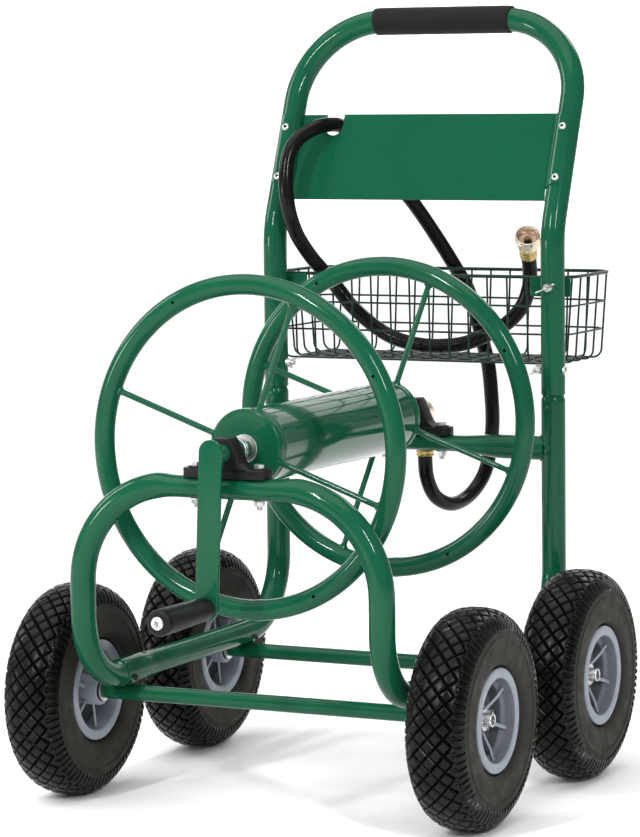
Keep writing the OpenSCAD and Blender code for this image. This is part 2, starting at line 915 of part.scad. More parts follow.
module spokes() {
    color(green)
    for (y = [hoop_front_y, hoop_rear_y], i = [0 : 3]) {
        a = spoke_turn + i * 90;
        out = [cos(a), 0, sin(a)];
        bar([0, y, reel_z] + out * (drum_r + 1.2), [0, y, reel_z] + out * (hoop_r - hoop_tr + 0.8),
            spoke_d / 2);
    }
}

spigot_end_y = elbow_y - 4;
block_back_y = upright_y + block_depth / 2;

module reel_shaft() {
    color(green)
    difference() {
        union() {
            rod_y(0, reel_z, arm_back_y, block_back_y - 1, shaft_r);
            rod_y(0, reel_z, block_back_y - 2, spigot_end_y, 8);
        }
        rod_y(0, reel_z, arm_back_y - 1, 60, shaft_r - 3);
        rod_y(0, reel_z, 80, spigot_end_y + 1, 5.5);
        translate([0, outlet_y, reel_z])
            rotate([0, outlet_turn, 0])
                cylinder(h = 30, r = 5);
    }
}

module shaft_washers() {
    color(zinc)
    for (y = [drum_front - 3, drum_rear])
        difference() {
            rod_y(0, reel_z, y, y + 3, 16.5);
            rod_y(0, reel_z, y - 1, y + 4, shaft_r);
        }
}

module shaft_collars() {
    color(zinc)
    for (y = [loop_y + block_depth / 2 + 3, upright_y - block_depth / 2 - 11])
        difference() {
            rod_y(0, reel_z, y, y + 8, 14.5);
            rod_y(0, reel_z, y - 1, y + 9, shaft_r);
        }
}

outlet_y = 128;
outlet_turn = -110; // direction of the outlet about the reel axis

// Pipe from the shaft out to the drum wall
module feed_pipe() {
    color(brass)
    translate([0, outlet_y, reel_z])
        rotate([0, outlet_turn, 0])
            difference() {
                translate([0, 0, 9.5])
                    cylinder(h = drum_r - 9.5, r = 7.5);
                cylinder(h = drum_r + 1, r = 5);
                rod_y(0, 0, -30, 30, shaft_r - 0.3);
            }
}

// Male hose thread on the drum, with a hexagon flange
module hose_outlet() {
    color(brass)
    translate([0, outlet_y, reel_z])
        rotate([0, outlet_turn, 0])
            difference() {
                union() {
                    translate([0, 0, drum_r - 3])
                        cylinder(h = 6, r = 10.9);
                    translate([0, 0, drum_r - 0.5])
                        cylinder(h = 8.5, r = 17, $fn = 6);
                    translate([0, 0, drum_r + 8])
                        cylinder(h = 15, r = 13.4);
                }
                translate([0, 0, drum_r - 4])
                    cylinder(h = 40, r = 7.5);
                translate([0, 0, drum_r + 2])
                    cylinder(h = 40, r = 8.5);
            }
}

module on_crank() {
    translate([0, 0, reel_z])
        rotate([0, crank_turn, 0])
            children();
}

module crank_arm() {
    color(green)
    on_crank()
        difference() {
            union() {
                translate([-arm_w / 2, arm_front_y, -crank_len])
                    cube([arm_w, arm_t, crank_len + 4]);
                rod_y(0, 4, arm_front_y, arm_back_y, arm_w / 2);
                rod_y(0, -crank_len, arm_front_y, arm_back_y, arm_w / 2);
            }
            rod_y(0, -crank_len, arm_front_y - 1, arm_back_y + 1, 4);
        }
}

module grip_bolt() {
    color(zinc)
    on_crank() {
        rod_y(0, -crank_len, grip_end_y + 2, arm_back_y + 9, 4);
        rod_y(0, -crank_len, grip_end_y - 3.4, grip_end_y + 3, 6.3);
    }
}

module grip_nut() {
    color(zinc)
    on_crank()
        difference() {
            translate([0, arm_back_y + 7, -crank_len])
                rotate([90, 0, 0])
                    cylinder(h = 7, r = 7.5, $fn = 6);
            rod_y(0, -crank_len, arm_back_y - 1, arm_back_y + 9, 4);
        }
}

module crank_grip() {
    r = crank_grip_d / 2;
    color(black)
    on_crank()
        translate([0, grip_start_y, -crank_len])
            rotate([90, 0, 0])
                rotate_extrude()
                    polygon([[4 + run, 0], [r - 4, 0], [r - 1.2, 1.2], [r, 4.5],
                        [r, crank_grip_len - 4], [r - 1.2, crank_grip_len - 1.2],
                        [r - 4, crank_grip_len], [7.5, crank_grip_len],
                        [7.5, crank_grip_len - 3.8], [4 + run, crank_grip_len - 3.8]]);
}

// ---------------------------------------------------------------- swivel and leader hose

// Cast elbow: seat for the turning shaft, then a leg down to the hose
module swivel_elbow() {
    color(brass)
    difference() {
        union() {
            rod_y(0, reel_z, block_back_y, elbow_y, 14);
            translate([0, elbow_y, reel_z])
                sphere(r = 14);
            translate([0, elbow_y, leg_end_z + 12])
                cylinder(h = reel_z - leg_end_z - 12, r = 11.5);
            translate([0, elbow_y, leg_end_z + 4])
                cylinder(h = 11, r = 15, $fn = 6);
            translate([0, elbow_y, leg_end_z])
                cylinder(h = 5, r = 10.5);
        }
        rod_y(0, reel_z, block_back_y - 1, elbow_y - 3, 8 + run);
        rod_y(0, reel_z, seal_y, seal_y + 2.6, 10.4);
        rod_y(0, reel_z, block_back_y, elbow_y, 6);
        translate([0, elbow_y, leg_end_z - 1])
            cylinder(h = reel_z - leg_end_z, r = 6);
    }
}

seal_y = block_back_y + 5;

module swivel_seal() {
    color(rubber)
    difference() {
        rod_y(0, reel_z, seal_y, seal_y + 2.6, 10.4);
        rod_y(0, reel_z, seal_y - 1, seal_y + 4, 8 + run);
    }
}

// Crimped sleeve on a hose end: closed end at z = 0, hose towards -Z
module ferrule() {
    rotate_extrude()
        polygon([[hose_d / 2 + 0.1, 0], [10.8, 0], [11.4, -1], [11.4, -4], [10.9, -5],
            [10.9, -7], [11.4, -8], [11.4, -11], [10.9, -12], [10.9, -14], [11.4, -15],
            [11.4, -17], [10.8, -18], [hose_d / 2 + 0.1, -18]]);
}

module elbow_ferrule() {
    color(brass)
    translate([0, elbow_y, leg_end_z])
        ferrule();
}

function hose_point(i) = hose_route[min(max(i, 0), len(hose_route) - 1)];
function hose_line() = concat(
    [for (i = [0 : len(hose_route) - 2], k = [0 : hose_steps - 1])
        catmull(hose_point(i - 1), hose_point(i), hose_point(i + 1), hose_point(i + 2),
            k / hose_steps)],
    [hose_route[len(hose_route) - 1]]);

module leader_hose() {
    line = hose_line();
    n = len(line);
    r = hose_d / 2;
    tangent = [for (i = [0 : n - 1]) unit(line[min(i + 1, n - 1)] - line[max(i - 1, 0)])];
    side = [for (i = [0 : n - 1]) unit(cross(tangent[i], [0.86, -0.34, -0.38]))];
    points = [for (i = [0 : n - 1], k = [0 : hose_sides - 1])
        line[i] + r * cos(k * 360 / hose_sides) * side[i]
            + r * sin(k * 360 / hose_sides) * cross(tangent[i], side[i])];
    walls = [for (i = [0 : n - 2], k = [0 : hose_sides - 1])
        let (m = (k + 1) % hose_sides)
            [i * hose_sides + m, i * hose_sides + k, (i + 1) * hose_sides + k,
                (i + 1) * hose_sides + m]];
    first = [[for (k = [0 : hose_sides - 1]) k]];
    last = [[for (k = [hose_sides - 1 : -1 : 0]) (n - 1) * hose_sides + k]];
    color(rubber)
        polyhedron(points, concat(walls, first, last));
}

// Frame of the coupling: +Z out of the hose end
module on_tail() {
    translate(tail_at)
        rotate([0, -tail_turn, 0])
            rotate([tail_tilt, 0, 0])
                children();
}

module coupling_ferrule() {
    color(brass)
    on_tail()
        ferrule();
}

module coupling_tail() {
    color(brass)
    on_tail()
        difference() {
            union() {
                cylinder(h = 9, r = 9.2);
                translate([0, 0, 6])
                    cylinder(h = 4, r = 11.6);
            }
            translate([0, 0, -1])
                cylinder(h = 20, r = 6);
        }
}

module coupling_nut() {
    color(brass)
    on_tail()
        difference() {
            union() {
                translate([0, 0, 3])
                    cylinder(h = 5, r = 14);
                translate([0, 0, 7])
                    cylinder(h = 12, r = 17.5, $fn = 6);
                translate([0, 0, 18.5])
                    cylinder(h = 4.5, r = 15.5);
            }
            translate([0, 0, 2])
                cylinder(h = 30, r = 9.25);
            translate([0, 0, 5.6])
                cylinder(h = 30, r = 12.1);
            translate([0, 0, 12.5])
                cylinder(h = 30, r = 13.6);
        }
}

module coupling_gasket() {
    color(rubber)
    on_tail()
        translate([0, 0, 10])
            difference() {
                cylinder(h = 2.5, r = 11.6);
                translate([0, 0, -1])
                    cylinder(h = 5, r = 7);
            }
}

// ---------------------------------------------------------------- drawing

front_loop();
side_tube_left();
side_tube_right();
front_axle();
rear_axle();
crossbar();
frame_screws();
frame_nuts();
handle_frame();
handle_grip();
joint_bolts();
back_panel();
panel_rivets();
basket_rings();
basket_cross_wires();
basket_long_wires();
basket_plates();
basket_bolts();
wing_nuts();
front_block();
rear_block();
block_bolts();
block_washers();
block_nuts();
wheel_washers();
split_pins();
swivel_elbow();
swivel_seal();
elbow_ferrule();
leader_hose();
coupling_ferrule();
coupling_tail();
coupling_nut();
coupling_gasket();
drum_tube();
drum_cups();
hoop_front();
hoop_rear();
spokes();
reel_shaft();
shaft_washers();
shaft_collars();
feed_pipe();
hose_outlet();
crank_arm();
grip_bolt();
grip_nut();
crank_grip();
tyre_fl();
rim_fl();
bushes_fl();
tyre_fr();
rim_fr();
bushes_fr();
tyre_rl();
rim_rl();
bushes_rl();
tyre_rr();
rim_rr();
bushes_rr();
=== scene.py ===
# Garden hose reel cart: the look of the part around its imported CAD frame.
import json
import math
import bmesh
import bpy
from math import cos, pi, radians, sin, sqrt, tan
from mathutils import Matrix, Vector


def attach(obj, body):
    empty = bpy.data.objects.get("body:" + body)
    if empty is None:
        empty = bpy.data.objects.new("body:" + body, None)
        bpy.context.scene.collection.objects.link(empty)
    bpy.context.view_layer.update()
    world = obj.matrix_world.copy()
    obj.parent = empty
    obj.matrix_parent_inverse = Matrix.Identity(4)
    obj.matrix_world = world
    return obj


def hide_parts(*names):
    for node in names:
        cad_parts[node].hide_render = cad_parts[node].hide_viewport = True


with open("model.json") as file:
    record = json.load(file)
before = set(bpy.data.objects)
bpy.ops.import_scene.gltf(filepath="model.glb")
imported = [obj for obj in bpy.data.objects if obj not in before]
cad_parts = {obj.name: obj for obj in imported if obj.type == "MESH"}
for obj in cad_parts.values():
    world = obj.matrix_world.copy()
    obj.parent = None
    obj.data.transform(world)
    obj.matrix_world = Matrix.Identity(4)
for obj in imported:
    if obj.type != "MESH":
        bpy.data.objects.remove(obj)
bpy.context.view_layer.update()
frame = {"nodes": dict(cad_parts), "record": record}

scene = bpy.context.scene
MM = 0.001


# ---------------------------------------------------------------- camera, light and floor

CAM_AZ, CAM_EL, CAM_ROLL = radians(26.19), radians(5.72), radians(-0.64)
CAM_PLACE = (1.8082, -3.6925, 0.8562)
SENSOR = 36
FOCUS_TO_PICTURE = 3460.62 / 837     # focal length over the picture's longer side
BACK_AWAY, BACK_HALF, BACK_HIGH = 14, 12, 9    # the white sheet behind the cart, metres
FLOOR_HALF = 30

# name: place, what it is aimed at, size, watts
LIGHTS = {
    "key": ((-0.63, -3.58, 2.6), (0, 0, 0.5), (0.13, 1.2), 80),
    "side": ((2.76, -2.48, 2.5), (0, 0, 0.5), (0.13, 1.2), 72),
    "low": ((-2.9, -2.9, 0.75), (0, 0, 0.3), (0.5, 0.5), 26),
    "left": ((-3.6, -0.6, 2.3), (0, 0, 0.5), (1.0, 1.6), 40),
    "back": ((0.6, 3.0, 2.8), (0, 0, 0.5), (1.6, 0.8), 26),
}
SUN, SUN_ANGLE, WORLD = 2.0, radians(70), 0.30


def add(name, data):
    o = bpy.data.objects.new(name, data)
    scene.collection.objects.link(o)
    return o


def set_inputs(node, sockets):
    for k, v in sockets.items():
        node.inputs[k.replace("_", " ")].default_value = v


def make_camera():
    back = Vector((sin(CAM_AZ) * cos(CAM_EL), -cos(CAM_AZ) * cos(CAM_EL), sin(CAM_EL)))
    right = (-back).cross(Vector((0, 0, 1))).normalized()
    up = right.cross(-back)
    x = right * cos(CAM_ROLL) + up * sin(CAM_ROLL)
    y = up * cos(CAM_ROLL) - right * sin(CAM_ROLL)
    data = bpy.data.cameras.new("camera")
    data.sensor_width = SENSOR
    data.lens = FOCUS_TO_PICTURE * SENSOR
    data.clip_start, data.clip_end = 0.1, 100
    cam = add("camera", data)
    m = Matrix((x, y, back)).transposed().to_4x4()
    m.translation = Vector(CAM_PLACE)
    cam.matrix_world = m
    scene.camera = cam


def studio_sheet(name, corners, **sockets):
    me = bpy.data.meshes.new(name)
    me.from_pydata(corners, [], [(0, 1, 2, 3)])
    m = bpy.data.materials.new(name)
    m.use_nodes = True
    set_inputs(m.node_tree.nodes["Principled BSDF"], sockets)
    me.materials.append(m)
    add(name, me)


def make_stage():
    scene.view_settings.view_transform = "Standard"
    world = bpy.data.worlds.new("world")
    world.use_nodes = True
    world.node_tree.nodes["Background"].inputs[0].default_value = (1, 1, 1, 1)
    world.node_tree.nodes["Background"].inputs[1].default_value = WORLD
    scene.world = world
    for name, (place, aim, size, watts) in LIGHTS.items():
        data = bpy.data.lights.new(name, "AREA")
        data.shape = "RECTANGLE"
        data.size, data.size_y = size
        data.energy = watts
        o = add(name, data)
        o.location = place
        o.rotation_euler = (Vector(aim) - Vector(place)).to_track_quat("-Z", "Y").to_euler()
    data = bpy.data.lights.new("top", "SUN")
    data.energy, data.angle = SUN, SUN_ANGLE
    add("top", data).rotation_euler = (radians(8), radians(-10), 0)
    side = Vector((cos(CAM_AZ), sin(CAM_AZ), 0)) * BACK_HALF
    mid = Vector((-sin(CAM_AZ), cos(CAM_AZ), 0)) * BACK_AWAY
    up = Vector((0, 0, BACK_HIGH))
    studio_sheet("backdrop", [mid - side, mid + side, mid + side + up, mid - side + up],
                 Base_Color=(0.9, 0.9, 0.9, 1), Emission_Color=(1, 1, 1, 1),
                 Emission_Strength=0.8)
    s = FLOOR_HALF
    studio_sheet("floor", [(-s, -s, 0), (s, -s, 0), (s, s, 0), (-s, s, 0)],
                 Base_Color=(0.95, 0.95, 0.95, 1), Roughness=0.9, Specular_IOR_Level=0.1)


# ---------------------------------------------------------------- materials

class Nodes:
    """Small helper that wires a Principled material."""

    def __init__(self, name, color, rough, metal, sockets):
        self.m = bpy.data.materials.new(name)
        self.m.use_nodes = True
        self.t = self.m.node_tree
        self.b = self.t.nodes["Principled BSDF"]
        set_inputs(self.b, dict(Base_Color=(*color, 1), Roughness=rough, Metallic=metal,
                                **sockets))
        self.co = self.node("ShaderNodeTexCoord").outputs["Object"]
        self.height = None

    def node(self, kind, **props):
        n = self.t.nodes.new(kind)
        for k, v in props.items():
            setattr(n, k, v)
        return n

    def link(self, a, b):
        self.t.links.new(a, b)

    def texture(self, kind, out, **sockets):
        n = self.node("ShaderNodeTex" + kind)
        set_inputs(n, sockets)
        self.link(self.co, n.inputs["Vector"])
        return n.outputs[out]

    def noise(self, scale, detail, rough=0.5):
        return self.texture("Noise", "Fac", Scale=scale, Detail=detail, Roughness=rough)

    def cells(self, scale):
        return self.texture("Voronoi", "Distance", Scale=scale)

    def ramp(self, fac, lo, hi, a, b):
        """a number that goes from a to b as fac goes from lo to hi"""
        n = self.node("ShaderNodeMapRange")
        set_inputs(n, dict(From_Min=lo, From_Max=hi, To_Min=a, To_Max=b))
        self.link(fac, n.inputs["Value"])
        return n.outputs[0]

    def mix(self, fac, a, b):
        n = self.node("ShaderNodeMix", data_type="RGBA")
        self.link(fac, n.inputs[0])
        for v, s in ((a, n.inputs[6]), (b, n.inputs[7])):
            if isinstance(v, tuple):
                s.default_value = (*v, 1)
            else:
                self.link(v, s)
        return n.outputs[2]

    def roughen(self, out):
        self.link(out, self.b.inputs["Roughness"])

    def bump(self, out, strength, distance):
        n = self.node("ShaderNodeBump")
        set_inputs(n, dict(Strength=strength, Distance=distance))
        self.link(out, n.inputs["Height"])
        if self.height:
            self.link(self.height, n.inputs["Normal"])
        self.height = n.outputs[0]
        self.link(self.height, self.b.inputs["Normal"])

    def edges(self):
        """1 on worn convex edges, broken up by noise"""
        g = self.node("ShaderNodeNewGeometry")
        n = self.node("ShaderNodeMath", operation="MULTIPLY")
        self.link(self.ramp(g.outputs["Pointiness"], 0.52, 0.62, 0, 1), n.inputs[0])
        self.link(self.ramp(self.noise(260, 4), 0.4, 0.65, 0, 1), n.inputs[1])
        return n.outputs[0]


M, SLOT = {}, {}


def shade(c, k):
    """The colour c times k, or k itself if it is a colour."""
    return k if isinstance(k, tuple) else tuple(v * k for v in c)


def material(key, slot, name, c, rough, metal=0.0, mottle=None, worn=None, patches=None,
             grain=(), **sockets):
    """mottle: noise scale, detail, range, two shades. worn: colour of the worn edges.
    patches: noise settings, range, two roughnesses. grain: scale, detail, strength, height."""
    n = Nodes(name, c, rough, metal, sockets)
    if mottle:
        scale, detail, lo, hi, a, b = mottle
        base = n.mix(n.ramp(n.noise(scale, detail), lo, hi, 0, 1), shade(c, a), shade(c, b))
        n.link(n.mix(n.edges(), base, worn) if worn else base, n.b.inputs["Base Color"])
    if patches:
        settings, lo, hi, a, b = patches
        n.roughen(n.ramp(n.noise(*settings), lo, hi, a, b))
    for scale, detail, strength, distance in grain:
        n.bump(n.noise(scale, detail), strength, distance)
    M[key], SLOT[key] = n.m, slot
    return n


def make_materials():
    # gloss green paint: orange peel, faint dust and wear on the edges
    c = (0.0052, 0.078, 0.0365)
    material("paint", "frame_paint", "green_paint", c, 0.14, Coat_Weight=0.18,
             Coat_Roughness=0.02, Specular_IOR_Level=0.10,
             mottle=(9, 4, 0.35, 0.65, 0.93, 1.07), worn=(0.03, 0.15, 0.085),
             patches=((38, 5, 0.6), 0.35, 0.7, 0.09, 0.19),
             grain=((520, 2, 0.05, 0.0004), (45, 2, 0.03, 0.002)))
    # the same paint on the drum, where it is smooth enough to mirror what is round it
    material("gloss", "frame_paint", "drum_paint", c, 0.1, Coat_Weight=0.42,
             Coat_Roughness=0.03, Specular_IOR_Level=0.24, mottle=(9, 4, 0.35, 0.65, 0.9, 1.1),
             patches=((30, 5, 0.6), 0.35, 0.7, 0.07, 0.15), grain=((25, 2, 0.04, 0.002),))
    # wire: the same paint, thinner and a little lumpy at the welds
    material("wire", "frame_paint", "wire_paint", shade(c, 0.3), 0.34, Specular_IOR_Level=0.25,
             mottle=(60, 3, 0.4, 0.6, shade(c, 0.2), shade(c, 0.34)),
             grain=((900, 2, 0.2, 0.0003),))
    # zinc plate, spangled
    n = material("zinc", "zinc", "zinc_plate", (0.62, 0.63, 0.64), 0.3, 1.0,
                 mottle=(150, 4, 0.35, 0.65, 0.78, (0.74, 0.74, 0.73)),
                 grain=((1500, 3, 0.12, 0.0002),))
    n.roughen(n.ramp(n.cells(700), 0, 0.6, 0.24, 0.42))
    # zinc dulled by overspray, on the small screws in the rails
    material("dull", "zinc", "dull_zinc", (0.05, 0.075, 0.065), 0.5, 1.0,
             patches=((150, 4), 0.35, 0.65, 0.4, 0.6))
    # cast and machined brass
    material("brass", "brass", "brass", (0.86, 0.74, 0.56), 0.27, 1.0,
             mottle=(80, 5, 0.35, 0.7, 0.85, (0.90, 0.80, 0.64)),
             patches=((220, 4), 0.3, 0.7, 0.2, 0.42), grain=((900, 3, 0.15, 0.0003),))
    # stamped ferrules: yellower and less polished
    material("ferrule", "brass", "ferrule_brass", (0.56, 0.40, 0.15), 0.3, 1.0,
             mottle=(120, 5, 0.35, 0.7, 0.75, 1.25), patches=((200, 4), 0.3, 0.7, 0.22, 0.42))
    material("plastic", "black_plastic", "black_plastic", (0.0065, 0.0065, 0.007), 0.40,
             Specular_IOR_Level=0.18, mottle=(25, 4, 0.4, 0.6, 1, 1.25),
             worn=(0.02, 0.02, 0.021), patches=((60, 4), 0.35, 0.65, 0.34, 0.48),
             grain=((1600, 2, 0.25, 0.0002),))
    # closed-cell foam
    n = material("foam", "grip_foam", "foam", (0.009, 0.009, 0.0095), 0.8, Sheen_Weight=0.06,
                 Sheen_Roughness=0.5, Specular_IOR_Level=0.12,
                 mottle=(140, 4, 0.35, 0.65, 0.95, 1.2))
    n.bump(n.cells(1100), 0.2, 0.0003)
    n.bump(n.noise(90, 3), 0.06, 0.001)
    # hose rubber: smooth extrusion with a dull bloom
    material("hose", "hose_rubber", "hose_rubber", (0.004, 0.004, 0.0042), 0.2,
             Specular_IOR_Level=0.16, mottle=(30, 5, 0.4, 0.65, 1, (0.0052, 0.005, 0.0052)),
             patches=((50, 5), 0.35, 0.65, 0.15, 0.22), grain=((700, 3, 0.12, 0.0003),))
    material("seal", "seal_rubber", "seal_rubber", (0.55, 0.36, 0.28), 0.5,
             mottle=(90, 3, 0.4, 0.6, (0.50, 0.32, 0.25), (0.62, 0.42, 0.33)),
             grain=((1200, 2, 0.2, 0.0002),))
    # tyre rubber: warm dull sidewall, darker and shinier tread
    material("tyre", "tyre_rubber", "tyre_rubber", (0.02, 0.018, 0.015), 0.55,
             Specular_IOR_Level=0.14, patches=((70, 4), 0.35, 0.65, 0.5, 0.68),
             mottle=(18, 5, 0.3, 0.7, (0.020, 0.0185, 0.015), (0.026, 0.0235, 0.019)),
             grain=((1000, 3, 0.18, 0.0003), (40, 3, 0.08, 0.002)))
    material("tread", "tyre_rubber", "tread_rubber", (0.003, 0.003, 0.003), 0.34,
             Specular_IOR_Level=0.16, patches=((90, 4), 0.35, 0.65, 0.24, 0.38),
             mottle=(120, 5, 0.35, 0.7, (0.0014, 0.0014, 0.0014), (0.0034, 0.0033, 0.0032)),
             grain=((800, 3, 0.22, 0.0004),))
    # grey rim plastic, and darker copies of it for its well and its pockets: painted shade in the
    # recesses
    c = (0.255, 0.285, 0.33)
    fine = ((1300, 2, 0.15, 0.0002),)
    material("rim", "wheel_plastic", "rim_plastic", c, 0.45, mottle=(14, 4, 0.35, 0.65, 0.93, 1.06),
             patches=((50, 4), 0.35, 0.65, 0.38, 0.52), grain=fine)
    for key, k in (("well", 0.55), ("pocket", 0.26)):
        material(key, "wheel_plastic", "rim_" + key, shade(c, k), 0.55, Specular_IOR_Level=0.3,
                 mottle=(30, 4, 0.35, 0.65, shade(c, k * 0.86), shade(c, k * 1.14)), grain=fine)


make_materials()
make_camera()
make_stage()


# ---------------------------------------------------------------- mesh helpers

# drawn in X and Z with its thickness along -Y
UPRIGHT = Matrix(((1, 0, 0, 0), (0, 0, -1, 0), (0, 1, 0, 0), (0, 0, 0, 1)))


def smooth01(t):
    t = min(max(t, 0), 1)
    return t * t * (3 - 2 * t)


def circle(r, n, z=0.0):
    return [(r * cos(2 * pi * j / n), r * sin(2 * pi * j / n), z) for j in range(n)]


def round_corners(x0, x1, y0, y1, r, n):
    """Outline of a rectangle with round corners, whose corners' centres are given."""
    out = []
    for cx, cy, a0 in ((x1, y0, -90), (x1, y1, 0), (x0, y1, 90), (x0, y0, 180)):
        for i in range(n + 1):
            a = radians(a0 + 90 * i / n)
            out.append((cx + r * cos(a), cy + r * sin(a)))
    return out


class Build:
    """Collects a piece's geometry in millimetres, on the frame's axes."""

    def __init__(self):
        self.v, self.f, self.k = [], [], []

    def add(self, verts, faces, m=None, k=0):
        base = len(self.v)
        self.v += [tuple(m @ Vector(p)) if m else tuple(p) for p in verts]
        self.f += [tuple(base + i for i in q) for q in faces]
        self.k += [k] * len(faces)

    def grid(self, rows, m=None, k=0, wrap=True, caps=(False, False)):
        """Quads between equal rows of points. Each row closes on itself if wrap."""
        n = len(rows[0])
        faces = []
        for i in range(len(rows) - 1):
            for j in range(n if wrap else n - 1):
                a, b = i * n + j, i * n + (j + 1) % n
                faces.append((a, b, b + n, a + n))
        if caps[0]:
            faces.append(tuple(range(n - 1, -1, -1)))
        if caps[1]:
            faces.append(tuple((len(rows) - 1) * n + j for j in range(n)))
        self.add([p for r in rows for p in r], faces, m, k)

    def lathe(self, profile, m=None, n=48, k=0, ring=False):
        """Turns (radius, z) points about Z. ring joins the last point to the first."""
        pts = list(profile) + ([profile[0]] if ring else [])
        self.grid([circle(r, n, z) for r, z in pts], m, k)

    def turned(self, profile, radius, m, n, caps=(False, False)):
        """A lathe whose radius is worked out for point i of the profile and column j."""
        rows = []
        for i, (r, z) in enumerate(profile):
            around = [(radius(i, j, r, z), 2 * pi * j / n) for j in range(n)]
            rows.append([(q * cos(a), q * sin(a), z) for q, a in around])
        self.grid(rows, m, caps=caps)

    def sweep(self, path, radius, n=24, caps=(False, False), m=None):
        """A round tube along points. radius is a number or a list, one for each point."""
        path = [Vector(p) for p in path]
        rows, side = [], None
        for i, p in enumerate(path):
            t = (path[min(i + 1, len(path) - 1)] - path[max(i - 1, 0)]).normalized()
            if side is None:
                ref = Vector((0, 0, 1)) if abs(t.z) < 0.9 else Vector((1, 0, 0))
                side = t.cross(ref).normalized()
            else:
                side = (side - t * side.dot(t)).normalized()
            other = t.cross(side)
            r = radius[i] if isinstance(radius, list) else radius
            rows.append([p + side * x + other * y for x, y, _ in circle(r, n)])
        self.grid(rows, m, caps=caps)

    def loop(self, path, r, n=16):
        """A closed round ring along a closed flat path."""
        path = [Vector(p) for p in path]
        c = sum(path, Vector()) / len(path)
        up = (path[0] - c).cross(path[len(path) // 4] - c).normalized()
        rows = []
        for i, p in enumerate(path):
            side = (path[(i + 1) % len(path)] - path[i - 1]).normalized().cross(up)
            rows.append([p + side * x + up * y for x, y, _ in circle(r, n)])
        self.grid(rows + rows[:1])

    def prism(self, outline, z0, z1, m=None, bevel=1.0):
        """A flat outline made thick, with its edges eased by bevel."""
        n = len(outline)

        def inset(d):
            out = []
            for i in range(n):
                a, b, c = (Vector(outline[i - 1]), Vector(outline[i]),
                           Vector(outline[(i + 1) % n]))
                u, v = (b - a).normalized(), (c - b).normalized()
                w = Vector((-u.y, u.x)) + Vector((-v.y, v.x))
                w = w / max(w.length_squared / 2, 0.3)
                out.append((b.x + w.x * d, b.y + w.y * d))
            return out
        rows = []
        for i in range(4):
            a = pi / 2 * i / 3
            rows.append((bevel * (1 - sin(a)), z0 + bevel * (1 - cos(a))))
        rows += [(d, z1 - (z - z0)) for d, z in reversed(rows)]
        rings = [[(x, y, z) for x, y in (inset(d) if d else outline)] for d, z in rows]
        self.grid(rings, m, caps=(True, True))

    def hexagon(self, across, z0, z1, m=None, ends=(True, True), hole=0.0, n=48):
        """A hexagon with turned chamfers. hole is the radius of its bore."""
        turned = across / 2 * 0.97
        flat, lo, hi = [], [], []
        for j in range(n):
            a = 2 * pi * j / n
            r = across / 2 / cos((a % (pi / 3)) - pi / 6)
            d = (r - turned) * 0.55
            flat.append((min(r, turned) * cos(a), min(r, turned) * sin(a)))
            lo.append((r * cos(a), r * sin(a), z0 + (d if ends[0] else 0)))
            hi.append((r * cos(a), r * sin(a), z1 - (d if ends[1] else 0)))
        rows = [[(x, y, z0) for x, y in flat], lo, hi, [(x, y, z1) for x, y in flat]]
        if hole:
            rows = [circle(hole, n, z0)] + rows + [circle(hole, n, z1), circle(hole, n, z0)]
        self.grid(rows, m, caps=(not hole, not hole))

    def thread(self, r, z0, z1, pitch, m=None, depth=0.5, n=32, inner=False):
        """A screw thread: its radius follows the helix and fades out at both ends."""
        steps = max(int((z1 - z0) / pitch * 8), 2)

        def helix(i, j, r, z):
            fade = min(1, i / 6, (steps - i) / 6)
            w = abs(2 * (((z - z0) / pitch - j / n) % 1) - 1)
            w = min(max((w - 0.12) / 0.76, 0), 1)
            return r + depth * w * fade if inner else r - depth * (1 - w) * fade
        self.turned([(r, z0 + (z1 - z0) * i / steps) for i in range(steps + 1)], helix, m, n,
                    caps=(False, not inner))

    def mesh(self, name, mats=(), merge=2e-6):
        me = bpy.data.meshes.new(name)
        me.from_pydata([(x * MM, y * MM, z * MM) for x, y, z in self.v], [], self.f)
        for m in mats:
            me.materials.append(M[m])
        for p, k in zip(me.polygons, self.k):
            p.material_index = k
        bm = bmesh.new()
        bm.from_mesh(me)
        bmesh.ops.remove_doubles(bm, verts=bm.verts, dist=merge)
        bmesh.ops.dissolve_degenerate(bm, edges=bm.edges, dist=1e-7)
        bmesh.ops.recalc_face_normals(bm, faces=bm.faces)
        bm.to_mesh(me)
        bm.free()
        return me

    def make(self, name, *mats, body="cart_frame", replaces=None, angle=38):
        """Turns what was collected into a piece that rides a body and stands for a CAD node."""
        me = self.mesh(name, mats)
        me.shade_smooth()
        me.set_sharp_from_angle(angle=radians(angle))
        o = add(name, me)
        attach(o, body)
        if replaces:
            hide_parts(replaces)
        return o


def axes(p, z, x=(1, 0, 0)):
    """Matrix whose Z axis is z and whose X axis is as near x as it can be, at p."""
    z = Vector(z).normalized()
    x = Vector(x)
    if abs(x.normalized().dot(z)) > 0.99:
        x = Vector((0, 0, 1)) if abs(z.z) < 0.9 else Vector((0, 1, 0))
    x = (x - z * x.dot(z)).normalized()
    y = z.cross(x)
    m = Matrix((x, y, z)).transposed().to_4x4()
    m.translation = Vector(p)
    return m


